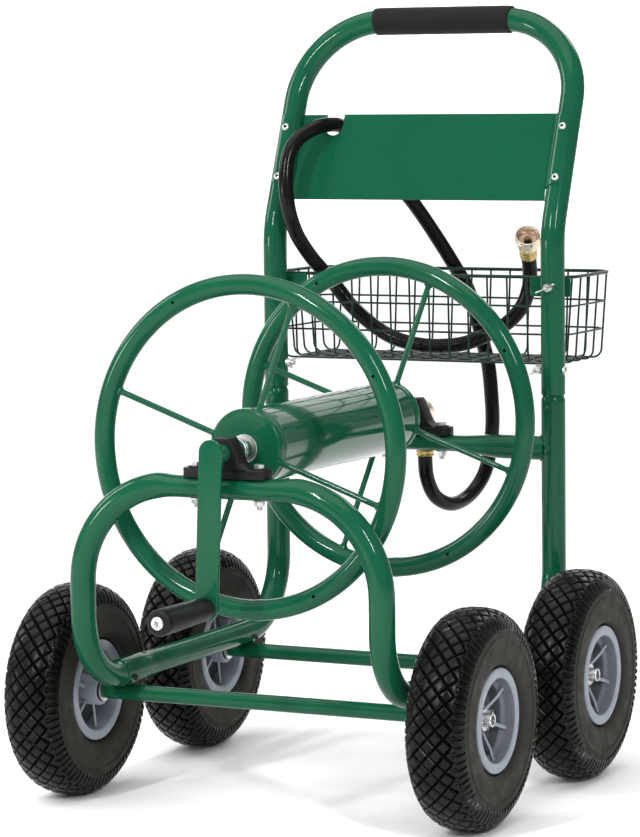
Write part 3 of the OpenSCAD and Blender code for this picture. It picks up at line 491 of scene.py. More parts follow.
def rounded(points, radius, step=4.0, straight=60.0):
    """Points along a path whose corners are rounded. radius is a number or one for each corner."""
    pts = [Vector(p) for p in points]
    radii = radius if isinstance(radius, list) else [radius] * (len(pts) - 2)
    out = [pts[0]]

    def run_to(b):
        a = out[-1]
        n = max(int((b - a).length / straight), 1)
        for i in range(1, n + 1):
            out.append(a.lerp(b, i / n))
    for i, r in enumerate(radii, 1):
        a, b, c = pts[i - 1], pts[i], pts[i + 1]
        u, v = (b - a).normalized(), (c - b).normalized()
        ang = u.angle(v)
        start = b - u * (r * tan(ang / 2))
        run_to(start)
        inward = (v - u * u.dot(v)).normalized()
        centre = start + inward * r
        n = max(int(ang / radians(step)), 2)
        for j in range(1, n + 1):
            t = ang * j / n
            out.append(centre - inward * (r * cos(t)) + u * (r * sin(t)))
    run_to(pts[-1])
    return out


def catmull(points, steps):
    """A smooth curve through the points."""
    p = [Vector(q) for q in points]
    out = []
    for i in range(len(p) - 1):
        a, b, c, d = p[max(i - 1, 0)], p[i], p[i + 1], p[min(i + 2, len(p) - 1)]
        for j in range(steps):
            t = j / steps
            out.append(0.5 * (2 * b + (c - a) * t + (2 * a - 5 * b + 4 * c - d) * t * t
                              + (3 * b - a - 3 * c + d) * t * t * t))
    return out + [p[-1]]


def cut(o, holes):
    """Takes cylinders (centre, direction, radius, length) out of a piece."""
    b = Build()
    for p, d, r, length in holes:
        b.lathe([(0.001, -length / 2), (r, -length / 2), (r, length / 2), (0.001, length / 2)],
                axes(p, d), 28)
    tool = add("cutter", b.mesh("cutter", merge=3e-6))
    mod = o.modifiers.new("cut", "BOOLEAN")
    mod.operation, mod.solver, mod.object = "DIFFERENCE", "EXACT", tool
    bpy.context.view_layer.update()
    new = bpy.data.meshes.new_from_object(o.evaluated_get(bpy.context.evaluated_depsgraph_get()))
    o.modifiers.remove(mod)
    old, o.data = o.data, new
    new.name = old.name
    bpy.data.objects.remove(tool)
    bpy.data.meshes.remove(old)
    new.shade_smooth()
    new.set_sharp_from_angle(angle=radians(38))


def weld(b, centre, along, half_l, half_w, half_h, seed):
    """A low rippled bead, flattened on the surface it lies on."""
    rows = []
    for i in range(15):
        t = -1 + 2 * i / 14
        f = sqrt(max(1 - t * t, 0)) * (1 + 0.07 * sin(i * 2.6 + seed))
        rows.append([(t * half_l, f * half_w * cos(2 * pi * j / 12),
                      f * half_h * sin(2 * pi * j / 12)) for j in range(12)])
    b.grid(rows, axes(centre, (0, 0, 1), along), caps=(True, True))


# ---------------------------------------------------------------- leader hose

HOSE = [(0, 285, 388), (0, 285, 365), (0, 291, 340), (3, 308, 316), (10, 336, 303),
        (15, 368, 304), (20, 398, 316), (25, 420, 338), (28, 430, 370), (30, 432, 400),
        (29, 432, 430), (25, 432, 472), (16, 432, 508), (7, 432, 543), (-5, 432, 575),
        (-20, 428, 602), (-36, 408, 640), (-54, 378, 684), (-76, 350, 724), (-102, 327, 764),
        (-122, 310, 785), (-131, 295, 789), (-141, 270, 786), (-156, 248, 772), (-163, 233, 750),
        (-163, 225, 718), (-160, 226, 684), (-156, 239, 653), (-150, 263, 625), (-141, 282, 604),
        (-125, 294, 580), (-109, 298, 559), (-84, 301, 537), (-52, 303, 518), (-14, 305, 509),
        (26, 308, 509), (57, 312, 516), (94, 317, 534), (117, 320, 556), (128, 320, 579),
        (132, 317, 600), (135, 306, 624), (140, 292, 637)]
HOSE_R = 9.42
TAIL = HOSE[-1]
TAIL_TILT, TAIL_TURN = radians(45), radians(22.5)
TAIL_AXIS = Vector((cos(TAIL_TILT) * sin(TAIL_TURN), -sin(TAIL_TILT),
                    cos(TAIL_TILT) * cos(TAIL_TURN)))


def make_hose():
    line = catmull(HOSE, 6)
    b = Build()
    b.sweep(line, HOSE_R, n=32, caps=(True, True))
    o = b.make("hose", "hose", replaces="leader_hose", angle=60)
    path = [p * MM for p in line]
    length = sum((q - p).length for p, q in zip(path, path[1:]))
    return o, path, length


hose, hose_path, hose_length = make_hose()


# ---------------------------------------------------------------- wheels

FRONT_Y, REAR_Y = -158, 162
WHEELS = {"fl": (-1, FRONT_Y), "fr": (1, FRONT_Y), "rl": (-1, REAR_Y), "rr": (1, REAR_Y)}
TYRE_R, TYRE_W, WHEEL_X = 127.0, 74.0, 258.0
SHOULDER = 36     # how far in from the crown the tyre's side begins
CELLS = 40        # tread diamonds round the tyre
COLS = 12         # mesh columns for each diamond
CELL_W = 19.0     # width of a diamond across the tread
DEPTH = 3.2
# distances from the crown along the surface
SERRATED = 33          # short cuts cross the rubber from here on
EDGE = 1.5 * CELL_W    # where the diamonds end and the shoulder lugs begin
LUG_END = 47.5
BEAD_LO, BEAD_HI, BEAD_UP = 56, 59, 0.8    # the raised line round the side
RIM_IN, RIM_OUT = -31.0, 32.0
RIBS = 6


def wheel_axes(w):
    side, y = WHEELS[w]
    return axes((side * WHEEL_X, y, TYRE_R), (side, 0, 0), (0, 1, 0))


def tyre_section():
    """Half of the tyre's outline from crown to bead: (radius, offset, arc length)"""
    pts = []
    for i in range(181):
        a = radians(i / 2)
        pts.append((TYRE_R - SHOULDER + SHOULDER * abs(cos(a)) ** 0.75,
                    abs(sin(a)) ** 0.75 * TYRE_W / 2))
    pts += [(84, 36.7), (75, 36.0), (68, 35.0), (64.6, 33.8), (62.4, 31.5), (60.8, 27.5),
            (54.5, 25)]
    out, s = [], 0
    for i, p in enumerate(pts):
        if i:
            s += math.hypot(p[0] - pts[i - 1][0], p[1] - pts[i - 1][1])
        out.append((*p, s))
    return out


SECTION = tyre_section()


def section_at(s):
    """Radius, offset and outward direction at a distance from the crown."""
    for a, b in zip(SECTION, SECTION[1:]):
        if s <= b[2]:
            t = (s - a[2]) / max(b[2] - a[2], 1e-9)
            r, x = a[0] + (b[0] - a[0]) * t, a[1] + (b[1] - a[1]) * t
            d = Vector((b[0] - a[0], b[1] - a[1]))
            return r, x, Vector((d.y, -d.x)).normalized()
    return b[0], b[1], Vector((1, 0))


def tread_depth(u, s):
    """How far the rubber lies below the outer envelope. u counts diamonds."""
    a = abs(s)
    if a > LUG_END + 1:
        return DEPTH * (0.5 - 0.2 * smooth01((a - 60) / 25))
    if a > SERRATED:
        return DEPTH * (0.78 if round(u * COLS) % 6 < 2 else 0.05)
    p, q = u + s / CELL_W, u - s / CELL_W
    e = min(abs(p - round(p)), abs(q - round(q))) * COLS
    if a > EDGE + 0.1:
        e = max(abs((u + 0.5) % 1 - 0.5) * COLS - 0.6, 0)
    return DEPTH * (1 if e < 0.5 else 0.38 if e < 1.5 else 0.06 if e < 2.5 else 0.0)


def make_tyre(w):
    step = CELL_W / COLS
    arcs = [i * step for i in range(int(LUG_END / step) + 1)]
    arcs += [LUG_END + 1.6, 49, 52, 55, 56.4, 57.2, 57.8, 58.6, 60, 64, 68, 72, 77, 82, 86]
    arcs += [88 + (SECTION[-1][2] - 88) * i / 6 for i in range(7)]
    signed = [-a for a in reversed(arcs)] + arcs[1:]
    cols, n = CELLS * COLS, len(signed)
    verts, faces, kinds = [], [], []
    for s in signed:
        r, x, nrm = section_at(abs(s))
        x = math.copysign(x, s)
        for j in range(cols):
            d = tread_depth(j / COLS, s)
            if BEAD_LO < abs(s) < BEAD_HI:
                d -= BEAD_UP
            rr, xx = r - nrm.x * d, x - (abs(nrm.y) * math.copysign(d, s) if s else 0)
            a = 2 * pi * j / cols
            verts.append((rr * cos(a), rr * sin(a), xx))
    for i in range(n):
        i2 = (i + 1) % n
        s = (signed[i] + signed[i2]) / 2
        ribbed = abs(s) < LUG_END + 2 and i < n - 1
        for j in range(cols):
            k = (j + 1) % cols
            a, c, d, e = i * cols + j, i * cols + k, i2 * cols + k, i2 * cols + j
            if ribbed:
                # each quad is split along the groove that it lies beside
                u = (j + 0.5) / COLS
                p, q = u + s / CELL_W, u - s / CELL_W
                along_p = abs(p - round(p)) < abs(q - round(q))
                faces += [(a, c, e), (c, d, e)] if along_p else [(a, c, d), (a, d, e)]
                kinds += [1, 1]
            else:
                faces.append((a, c, d, e))
                kinds.append(0)
    b = Build()
    b.add(verts, faces, wheel_axes(w))
    b.k = kinds
    b.make("tyre_" + w + "_tread", "tyre", "tread", body="wheel_" + w, replaces="tyre_" + w,
           angle=26)


def make_rim(w):
    m = wheel_axes(w)
    b = Build()
    i0, i1 = RIM_IN, RIM_OUT
    # well, bead seats, step, floor of the pockets, outer hub, inner floor, inner hub, bore
    for profile, k in (
            ([(46.2, -5), (46.2, 6), (47.2, 16), (47.6, i1 - 6), (48.0, i1 - 2.2),
              (48.3, i1 - 1.2)], 2),
            ([(48.3, i1 - 1.2), (48.7, i1 - 0.4), (49.4, i1), (55, i1 + 0.2), (58.4, i1),
              (59.6, i1 - 0.6), (60.0, i1 - 1.8), (59.6, i1 - 3.4), (57.4, i1 - 5),
              (54.2, i1 - 7), (53.9, i1 - 12), (53.9, i0 + 12), (54.2, i0 + 7), (57.4, i0 + 5),
              (59.6, i0 + 3.4), (60.0, i0 + 1.8), (59.6, i0 + 0.6), (58.4, i0), (49.8, i0),
              (48.6, i0 + 0.7), (48.0, i0 + 2.2), (47.6, i0 + 6), (47.2, -15), (46.2, -5)], 0),
            ([(46.9, 19.5), (46.0, 18.2), (43.2, 17.6), (42.2, 16.8), (41.8, 15.0)], 2),
            ([(41.8, 15.0), (40.6, 4.0), (38.6, 2.4), (22, 2.2), (19.0, 3.0), (17.6, 5.2)], 1),
            ([(17.6, 5.2), (16.2, 11.2), (15.4, 11.6), (12.9, 11.8), (12.3, 11.5),
              (11.05, 11.4)], 0),
            ([(46.6, -5.5), (45.0, -2.9), (42.5, -1.9), (22, -1.8), (19.6, -2.6),
              (18.3, -4.6)], 1),
            ([(18.3, -4.6), (18.0, -33.8), (17.4, -34.9), (16.4, -35.1), (12.0, -35.1),
              (11.05, -34.9)], 0)):
        b.lathe(profile, m, 96, k)
    b.lathe([(11.05, 11.4), (11.05, -34.9)], m, 48)
    first = 40 if WHEELS[w][0] > 0 else 20
    for i in range(RIBS):
        rot = m @ Matrix.Rotation(radians(first + 360 / RIBS * i), 4, "Z")
        # root, tip and tip's height at the hub, on the outer and the inner side
        for z0, z1, zh in ((2.0, 21.5, 10.8), (-1.6, -20.5, -20.5)):
            out = [(15.0, z0), (15.4, zh), (20, zh + (z1 - zh) * 0.18),
                   (34, zh + (z1 - zh) * 0.72), (47.4, z1), (47.4, z0)]
            left = [(x, 2.7 if abs(z) < 3 else 2.3, z) for x, z in out]
            near = [(x, 1.7, z + math.copysign(0.6, z1) if abs(z) > 3 else z) for x, z in out]
            right, far = ([(x, -y, z) for x, y, z in row] for row in (left, near))
            b.grid([left, near, far, right], rot, wrap=False)
    # the pocket and well faces take the darker copies of the rim plastic: painted shade
    b.make("rim_" + w + "_moulding", "rim", "pocket", "well",
           body="wheel_" + w, replaces="rim_" + w, angle=32)


def make_bushes(w):
    b = Build()
    for z, d in ((221.4 - WHEEL_X, 1), (271 - WHEEL_X, -1)):
        b.lathe([(8.05, z), (12.9, z), (13.4, z + 0.4 * d), (13.4, z + 1.5 * d),
                 (11, z + 1.5 * d), (11, z + 14 * d), (8.05, z + 14 * d)], wheel_axes(w), 48,
                ring=True)
    b.make("bushes_" + w + "_moulding", "plastic", body="wheel_" + w, replaces="bushes_" + w)


def make_axles():
    for node, y in (("front_axle", FRONT_Y), ("rear_axle", REAR_Y)):
        b = Build()
        ends = [218.2, 219, 219.5]
        path = [(x, y, TYRE_R) for x in [-x for x in reversed(ends)]
                + list(range(-210, 211, 15)) + ends]
        b.sweep(path, [8.0, 9.2, 9.5] + [9.5] * 29 + [9.5, 9.2, 8.0], n=40)
        for s in (-1, 1):
            weld(b, (s * 191, y, TYRE_R + 9.6), (1, 0, 0), 8.2, 3.2, 2.4, y + s)
        b.make(node + "_tube", "paint", replaces=node)
        b = Build()
        for s in (-1, 1):
            b.lathe([(5.6, 250), (5.6, 282.4), (6.2, 283), (7.4, 283), (8.0, 282.2),
                     (8.0, 218.5)], axes((0, y, TYRE_R), (s, 0, 0), (0, 1, 0)), 48)
        b.make(node + "_ends", "zinc")


def make_wheel_hardware():
    b = Build()
    for s, y in WHEELS.values():
        for x in (219, 271.4):
            b.lathe([(8, x), (12.7, x), (13, x + 0.3), (13, x + 1.7), (12.7, x + 2), (8, x + 2)],
                    axes((0, y, TYRE_R), (s, 0, 0), (0, 1, 0)), 40, ring=True)
    b.make("wheel_washers_turned", "zinc", replaces="wheel_washers")
    b = Build()
    eye = [(-2.3 * sin(radians(a)), 0, 11.3 - 2.3 * cos(radians(a))) for a in range(20, 341, 20)]
    left = [(-3.6, 0, -12.6), (-2.2, 0, -11.6), (-0.8, 0, -9.8), (-0.75, 0, -8), (-0.75, 0, 8.6)]
    right = [(0.75, 0, 8.6), (0.75, 0, -8), (0.8, 0, -9.8), (2.2, 0, -11.6), (3.4, 0, -12.4)]
    for i, (s, y) in enumerate(WHEELS.values()):
        turn = radians(28 if s > 0 else -28) + i * 0.3
        m = axes((s * 277, y, TYRE_R), (0, sin(turn), cos(turn)), (s, 0, 0))
        b.sweep(catmull(left + eye + right, 3), 0.72, n=10, caps=(True, True), m=m)
    b.make("split_pins_bent", "zinc", replaces="split_pins")


for w in WHEELS:
    make_tyre(w)
    make_rim(w)
    make_bushes(w)
make_axles()
make_wheel_hardware()


# ---------------------------------------------------------------- frame tubes

LOOP_Y, UP_Y, SIDE_X, RAIL_Z, BAR_Z = -254.0, 248.0, 191.0, 152.5, 390.0
TUBE_R = 15.0
LOOP_RADII, REAR_RADIUS, HANDLE_RADII = [80, 118, 118, 80], 92, [110, 108, 108, 110]
LOOP_END_Y, RAIL_END_Y = -124, -176
LEAN = radians(22)
KNEE_Z, LEAN_LEN, HANDLE_FOOT_Z = 659.0, 281.0, 457
FOAM_HALF, FOAM_R = 95.5, 17.42


def on_handle(x, s, n=0.0):
    """Point on the leaning handle: s up from the knee, n out of it towards the crank."""
    return Vector((x, UP_Y + s * sin(LEAN) - n * cos(LEAN),
                   KNEE_Z + s * cos(LEAN) + n * sin(LEAN)))


def press_bar(v, y0, flat, edge, top, low, wide):
    """Flattens the middle of a bar that was swept round."""
    out = []
    for x, y, z in v:
        if z > BAR_Z - 20 and abs(x) < edge and abs(y - y0) < 20:
            f = smooth01((edge - abs(x)) / (edge - flat))
            dz, dy = z - BAR_Z, y - y0
            dz *= 1 - f * (top if dz > 0 else low)
            dy *= 1 + wide * f * (1 - 0.25 * (1 - abs(dy) / TUBE_R))
            z, y = BAR_Z + dz, y0 + dy
        out.append((x, y, z))
    return out


def make_front_loop():
    b = Build()
    path = rounded([(-SIDE_X, LOOP_END_Y, RAIL_Z), (-SIDE_X, LOOP_Y, RAIL_Z),
                    (-SIDE_X, LOOP_Y, BAR_Z), (SIDE_X, LOOP_Y, BAR_Z),
                    (SIDE_X, LOOP_Y, RAIL_Z), (SIDE_X, LOOP_END_Y, RAIL_Z)], LOOP_RADII, 3, 6)
    b.sweep(path, TUBE_R, n=40)
    b.v = press_bar(b.v, LOOP_Y, 66, 96, 0.20, 0.10, 0.10)
    b.make("front_loop_tube", "paint", replaces="front_loop")


def make_side_tubes():
    for s, node in ((-1, "side_tube_left"), (1, "side_tube_right")):
        b = Build()
        x = s * SIDE_X
        path = rounded([(x, RAIL_END_Y, RAIL_Z), (x, UP_Y, RAIL_Z), (x, UP_Y, 448)],
                       REAR_RADIUS, 3, 10)
        # the rail is belled over the loop's foot
        r = [16.5 - 1.5 * smooth01(((p.y if p.z < RAIL_Z + 1 else 999) + 128) / 16)
             for p in path]
        path = [Vector((x, y, RAIL_Z)) for y in (RAIL_END_Y, RAIL_END_Y + 0.4)] + path[1:]
        r = [15.25, 16.2] + r[1:]
        # necked top that goes up into the handle
        top = [(448.6, 15), (450.5, 14.9), (452.2, 14.4), (453.6, 13.8), (455, 13.45),
               (458, 13.35), (480, 13.3)]
        b.sweep(path + [Vector((x, UP_Y, z)) for z, _ in top], r + [q for _, q in top], n=40)
        # small locating pip pressed out under the joint
        m = axes((x - s * 1.5, UP_Y - 14.6, 441), (0, -1, 0), (1, 0, 0))
        b.lathe([(4.2, -0.6), (3.4, 0.5), (2.4, 1.3), (1.2, 1.7), (0.01, 1.8)], m, 20)
        # weld of the crossbar
        ring = []
        for yy, zz, _ in circle(15.6, 40):
            ring.append((x - s * (sqrt(max(15.2 ** 2 - min(yy * yy, 15.2 ** 2), 0)) + 0.9),
                         UP_Y + yy, BAR_Z + zz * 0.985))
        b.loop(ring, 1.5, n=8)
        b.make(node + "_tube", "paint", replaces=node)


def make_crossbar():
    b = Build()
    b.sweep([(x, UP_Y, BAR_Z) for x in
             [-182, -178] + [i * 4.0 for i in range(-44, 45)] + [178, 182]], TUBE_R, n=48)
    b.v = press_bar(b.v, UP_Y, 62, 128, 0.20, 0.42, 0.18)
    b.make("crossbar_tube", "paint", replaces="crossbar")


def make_handle():
    b = Build()
    path = rounded([(-SIDE_X, UP_Y, HANDLE_FOOT_Z), (-SIDE_X, UP_Y, KNEE_Z),
                    on_handle(-SIDE_X, LEAN_LEN), on_handle(SIDE_X, LEAN_LEN),
                    (SIDE_X, UP_Y, KNEE_Z), (SIDE_X, UP_Y, HANDLE_FOOT_Z)],
                   HANDLE_RADII, 2.5, 14)
    rise = (0.02, 0.0, 0.35, 1.0)
    lip = [path[0] + Vector((0, 0, d)) for d in rise]
    end = [path[-1] + Vector((0, 0, d)) for d in reversed(rise)]
    r = [13.45, 14.5, 14.9, 15.0]
    b.sweep(lip + path[1:-1] + end, r + [15.0] * (len(path) - 2) + r[::-1], n=40)
    b.make("handle_tube", "paint", replaces="handle_frame")
    # foam sleeve
    b = Build()
    line = rounded([on_handle(-SIDE_X, 120), on_handle(-SIDE_X, LEAN_LEN),
                    on_handle(SIDE_X, LEAN_LEN), on_handle(SIDE_X, 120)], 108, 1.5, 8)
    line = [p for p in line if abs(p.x) <= FOAM_HALF]
    first, last = line[0], line[-1]
    out = (line[1] - first).normalized()
    back = (line[-2] - last).normalized()
    ends = [(15.05, 0.9), (15.6, 0.2), (16.6, 0.2), (17.2, 0.8)]
    path = [first + out * d for _, d in ends] + line[1:-1] + \
        [last + back * d for _, d in reversed(ends)]
    r = [q for q, _ in ends] + [FOAM_R + 0.05 * sin(i * 1.7) for i in range(len(line) - 2)] + \
        [q for q, _ in reversed(ends)]
    b.sweep(path, r, n=56)
    b.make("handle_grip_foam", "foam", replaces="handle_grip", angle=60)


# ---------------------------------------------------------------- back panel

SHEET_T = 1.5
SHEET_R = TUBE_R + 0.06      # inner radius where the sheet wraps a tube
SHEET_FLAT = SIDE_X - SHEET_R
SHEET_LO, SHEET_HI = 39.0, 153.0
NOTCH_IN, NOTCH_MID, NOTCH_OUT, NOTCH_R, NOTCH_LO = 117.5, 129.5, 141.5, 12.0, 125.0


def sheet_span(u):
    """Low and high edge of the sheet at u from its middle, along its surface."""
    if u <= SHEET_FLAT + 1:
        return SHEET_LO, SHEET_HI
    f = smooth01((u - SHEET_FLAT - 8) / 16)
    return 53.0 + 3.0 * f, 150.0 - 2.0 * f


def sheet_strip(b, cols, spans):
    ring = []
    for (x, n, nx, ny), (lo, hi) in zip(cols, spans):
        heights = [lo + (hi - lo) * i / 24 for i in range(25)]
        ring.append([on_handle(x + nx * SHEET_T, s, n + ny * SHEET_T) for s in heights]
                    + [on_handle(x, s, n) for s in reversed(heights)])
    b.grid(ring, caps=(True, True))


def make_panel():
    """Sheet in the handle's plane whose sides wrap round the front of the tubes."""
    # half of the cross-section: x and n of the back face, outward direction, place along it
    half = []
    for x in [0, 20, 40, 60, 80, 100, NOTCH_IN, 120.5, 123.5, 126.5, NOTCH_MID, 132.5, 135.5,
              138.5, NOTCH_OUT, 150, 160, 168, 172, 174.5]:
        near_fold = x > SHEET_FLAT - 2
        half.append((x, 0.0, -0.35 if near_fold else 0.0, 0.93 if near_fold else 1.0, x))
    arc0, arc1 = radians(178), radians(62)
    for i in range(15):
        a = arc0 + (arc1 - arc0) * i / 14
        u = SHEET_FLAT + SHEET_R * (pi - a)
        turn = pi - (u - SHEET_FLAT) / SHEET_R
        half.append((SIDE_X + SHEET_R * cos(a), SHEET_R * sin(a), cos(turn), sin(turn), u))
    b = Build()
    right = [c[:4] for c in half]
    left = [(-x, n, -nx, ny) for x, n, nx, ny in right]
    spans = [sheet_span(c[4]) for c in half]
    i0, i1 = [next(i for i, c in enumerate(half) if c[0] == x) for x in (NOTCH_IN, NOTCH_OUT)]
    under = [(SHEET_LO, NOTCH_LO + NOTCH_R - sqrt(max(NOTCH_R ** 2 - (c[0] - NOTCH_MID) ** 2, 0)))
             for c in half[i0:i1 + 1]]
    sheet_strip(b, left[:i0 + 1], spans[:i0 + 1])
    sheet_strip(b, left[i0:i1 + 1], under)
    sheet_strip(b, left[i1:], spans[i1:])
    sheet_strip(b, right, spans)
    o = b.make("back_panel_sheet", "paint", replaces="back_panel", angle=30)
    mod = o.modifiers.new("edge", "BEVEL")
    mod.width = 0.0005
    mod.segments = 2
    mod.limit_method = "ANGLE"
    mod.angle_limit = radians(60)
    # painted shade lines: dark beads round the sheet's edges and along its folds, where the edges
    # fall in shade
    b = Build()
    fold = SHEET_FLAT - 0.3
    lines = [[on_handle(s * fold, 39.5 + 113 * i / 12, SHEET_T - 0.1) for i in range(13)]
             for s in (-1, 1)]
    for h, x0 in ((39.1, -fold), (152.9, -NOTCH_IN)):
        lines.append([on_handle(x0 + (fold - x0) * i / 24, h, SHEET_T / 2) for i in range(25)])
    for line, r in zip(lines, (0.6, 0.6, 0.75, 0.75)):
        b.sweep(line, r, n=8, caps=(True, True))
    # dark wire paint on these beads is painted shade, not a real hem
    b.make("back_panel_shade_lines", "wire")
    # blind rivets
    b = Build()
    out = Vector(on_handle(0, 0, 1)) - Vector(on_handle(0, 0, 0))
    for s in (-1, 1):
        for h in (64, 131):
            m = axes(on_handle(s * SIDE_X, h, TUBE_R), out, (1, 0, 0))
            b.lathe([(4.9, 1.3), (4.8, 2.0), (4.2, 2.9), (3.1, 3.5), (2.3, 3.6), (2.0, 3.4)], m, 32)
            # the floor of the mandrel hole is black plastic: painted shade in the hole
            b.lathe([(2.0, 3.4), (1.8, 1.3), (0.01, 1.3)], m, 32, 1)
    b.make("panel_rivet_heads", "zinc", "plastic", replaces="panel_rivets")


make_front_loop()
make_side_tubes()
make_crossbar()
make_handle()
make_panel()


# ---------------------------------------------------------------- reel

REEL_Z, HOOP_R, HOOP_T = 430.0, 187.0, 12.0
HOOPS = (-205.0, 168.0)
HOOP_WALL = 1.5
DRUM_R, DRUM_FRONT, DRUM_REAR = 44.0, -211.0, 174.0
SHAFT_R = 11.0
ROD_R = 3.5
FIRST_HOLE, FIRST_SPOKE, OUTLET_TURN = 28, 70, radians(-110)


def ring_centre(p, y):
    """The nearest point to p, in metres, on a hoop's centre line."""
    d = Vector((p.x, 0, p.z - REEL_Z * MM)).normalized() * HOOP_R * MM
    return Vector((d.x, y * MM, d.z + REEL_Z * MM))


def make_hoops():
    for name, y in zip(("hoop_front", "hoop_rear"), HOOPS):
        b = Build()
        for r, n in ((HOOP_T, 36), (HOOP_T - HOOP_WALL, 20)):
            rows = []
            for i in range(181):
                a = 2 * pi * (i % 180) / 180
                # the butt weld at the foot of the hoop
                seam = r + 0.45 * max(0, 1 - abs(i - 137) / 1.2) if r > 11 else r
                rows.append([((HOOP_R + u) * cos(a), y + v, REEL_Z + (HOOP_R + u) * sin(a))
                             for u, v, _ in circle(seam, n)])
            b.grid(rows)
        o = b.make(name + "_tube", "paint", body="reel", replaces=name)
        # the inner wall faces inwards
        bm = bmesh.new()
        bm.from_mesh(o.data)
        out = []
        for f in bm.faces:
            p = f.calc_center_median()
            away = p - ring_centre(p, y)
            if away.length < 0.0113 and f.normal.dot(away) > 0:
                out.append(f)
        bmesh.ops.reverse_faces(bm, faces=out)
        bm.to_mesh(o.data)
        bm.free()
        turns = [radians(FIRST_HOLE + 90 * i) for i in range(4)]
        cut(o, [((HOOP_R * cos(a), y - 12, REEL_Z + HOOP_R * sin(a)), (0, 1, 0), 2, 12)
                for a in turns])


def make_spokes():
    b = Build()
    foot, top, n = DRUM_R + 0.4, HOOP_R - HOOP_T, 24
    prof = [(6.0, foot - 0.6), (5.6, foot + 0.6), (4.5, foot + 2.2), (3.8, foot + 3.2),
            (ROD_R, foot + 4)]
    prof += [(ROD_R, foot + 4 + (top - foot - 8) * k / 10) for k in range(1, 10)]
    prof += [(ROD_R, top - 4), (3.9, top - 2.6), (4.8, top - 1.4), (5.8, top - 0.2),
             (6.2, top + 1.2)]

    def rippled(i, j, r, z):
        """The welds at both ends swell in and out."""
        return r + 0.35 * ((r - ROD_R) / 2.6) * sin(5 * 2 * pi * j / n + i)
    for y in HOOPS:
        for k in range(4):
            a = radians(FIRST_SPOKE + 90 * k)
            b.turned(prof, rippled, axes((0, y, REEL_Z), (cos(a), 0, sin(a)), (0, 1, 0)), n,
                     caps=(True, True))
    b.make("spoke_rods", "paint", body="reel", replaces="spokes")


def make_drum():
    b = Build()
    rows = []
    n = 128
    bead = [(0, 2), (0, 15.6), (0.7, 16.3), (1.0, 17.6), (0.7, 18.9), (0, 19.6), (0, 30)]
    bore = DRUM_R - 1.5
    for r0, y in [(DRUM_R + d, DRUM_FRONT + t) for d, t in bead] + \
            [(DRUM_R, DRUM_FRONT + 30 + 25 * i) for i in range(1, 13)] + \
            [(DRUM_R, DRUM_REAR - 30), (DRUM_R, DRUM_REAR - 2), (bore, DRUM_REAR - 2),
             (bore, DRUM_FRONT + 2)]:
        row = []
        for j in range(n):
            a = 2 * pi * j / n
            # rolled sheet with a ground seam along the drum
            d = (a - 4.1 + pi) % (2 * pi) - pi
            r = r0 + (0.28 * math.exp(-(d / 0.035) ** 2) if r0 > 43 else 0)
            row.append((r * cos(a), y, REEL_Z + r * sin(a)))
        rows.append(row)
    b.grid(rows + rows[:1])
    b.make("drum_sheet", "gloss", body="reel", replaces="drum_tube")
    b = Build()
    prof = [(SHAFT_R, 0.0), (14, 0.0), (17.2, 0.0), (19, 0.25), (38, 0.35), (41.6, 0.1)]
    for k in range(0, 91, 15):
        prof.append((42.0 + 3.5 * sin(radians(k)), 0.02 + 3.5 - 3.5 * cos(radians(k))))
    prof += [(45.5, 10.6), (45.3, 11.6), (44.6, 12.0), (44.02, 12.0), (44.0, 4.5), (42.3, 2.2),
             (40, 1.6), (17, 1.5), (SHAFT_R, 1.5)]
    for y, s in ((DRUM_FRONT, 1), (DRUM_REAR, -1)):
        b.lathe(prof, axes((0, y, REEL_Z), (0, s, 0)), 128, ring=True)
    b.make("drum_end_cups", "paint", body="reel", replaces="drum_cups")


def make_shaft():
    b = Build()
    # crank end, plain shaft, then the step and the bore of the swivel's seat
    b.lathe([(0.01, -291.0), (10.4, -291.2)]
            + [(SHAFT_R, y) for y in (-290, -250, -214, -120, 0, 120, 200, 261)]
            + [(10.3, 262), (8.0, 262), (8.0, 280), (7.2, 281), (5.5, 281), (5.5, 240),
               (0.01, 239)], axes((0, 0, REEL_Z), (0, 1, 0)), 56)
    b.make("shaft_tube", "paint", body="reel", replaces="reel_shaft")
    b = Build()
    for y, s in ((DRUM_FRONT, -1), (DRUM_REAR, 1)):
        b.lathe([(SHAFT_R, 0), (16.1, 0), (16.5, 0.4), (16.5, 2.4), (16.1, 2.9), (15.0, 3.0),
                 (13.2, 2.6), (12.2, 3.0), (SHAFT_R, 3.0)], axes((0, y, REEL_Z), (0, s, 0)), 64,
                ring=True)
    b.make("shaft_washer_rings", "zinc", body="reel", replaces="shaft_washers")
    b = Build()
    a = radians(140)
    d = (cos(a), 0, sin(a))
    for y in (-236, 222):
        b.lathe([(SHAFT_R, 0), (13.7, 0), (14.5, 0.8), (14.5, 3.2), (14.2, 3.5), (14.2, 4.5),
                 (14.5, 4.8), (14.5, 7.2), (13.7, 8), (SHAFT_R, 8)],
                axes((0, y, REEL_Z), (0, 1, 0)), 56, ring=True)
        # grub screw
        b.hexagon(3.0, -2, 0.26, axes((14.2 * d[0], y + 4, REEL_Z + 14.2 * d[2]), d, (0, 1, 0)),
                  n=24)
    b.make("shaft_collar_rings", "zinc", body="reel", replaces="shaft_collars")


def make_outlet():
    m = axes((0, 128, REEL_Z), (sin(OUTLET_TURN), 0, cos(OUTLET_TURN)), (0, 1, 0))
    b = Build()
    r = DRUM_R
    b.hexagon(2 * 17 * cos(pi / 6), r - 1.2, r + 8, m, ends=(False, True), hole=8.5, n=72)
    b.lathe([(14.2, r + 7.9), (12.1, r + 8.4), (11.6, r + 9.5)], m, 48)
    b.thread(13.4, r + 9.5, r + 22.2, 2.2, m, n=56, depth=1.35)
    b.lathe([(13.2, r + 22.2), (12.6, r + 23), (9.2, r + 23), (8.5, r + 22.3), (8.5, r + 2),
             (7.5, r + 1.6), (7.5, r - 3), (10.9, r - 3), (10.9, r - 1)], m, 56)
    b.make("hose_outlet_fitting", "brass", body="reel", replaces="hose_outlet")


# ---------------------------------------------------------------- crank

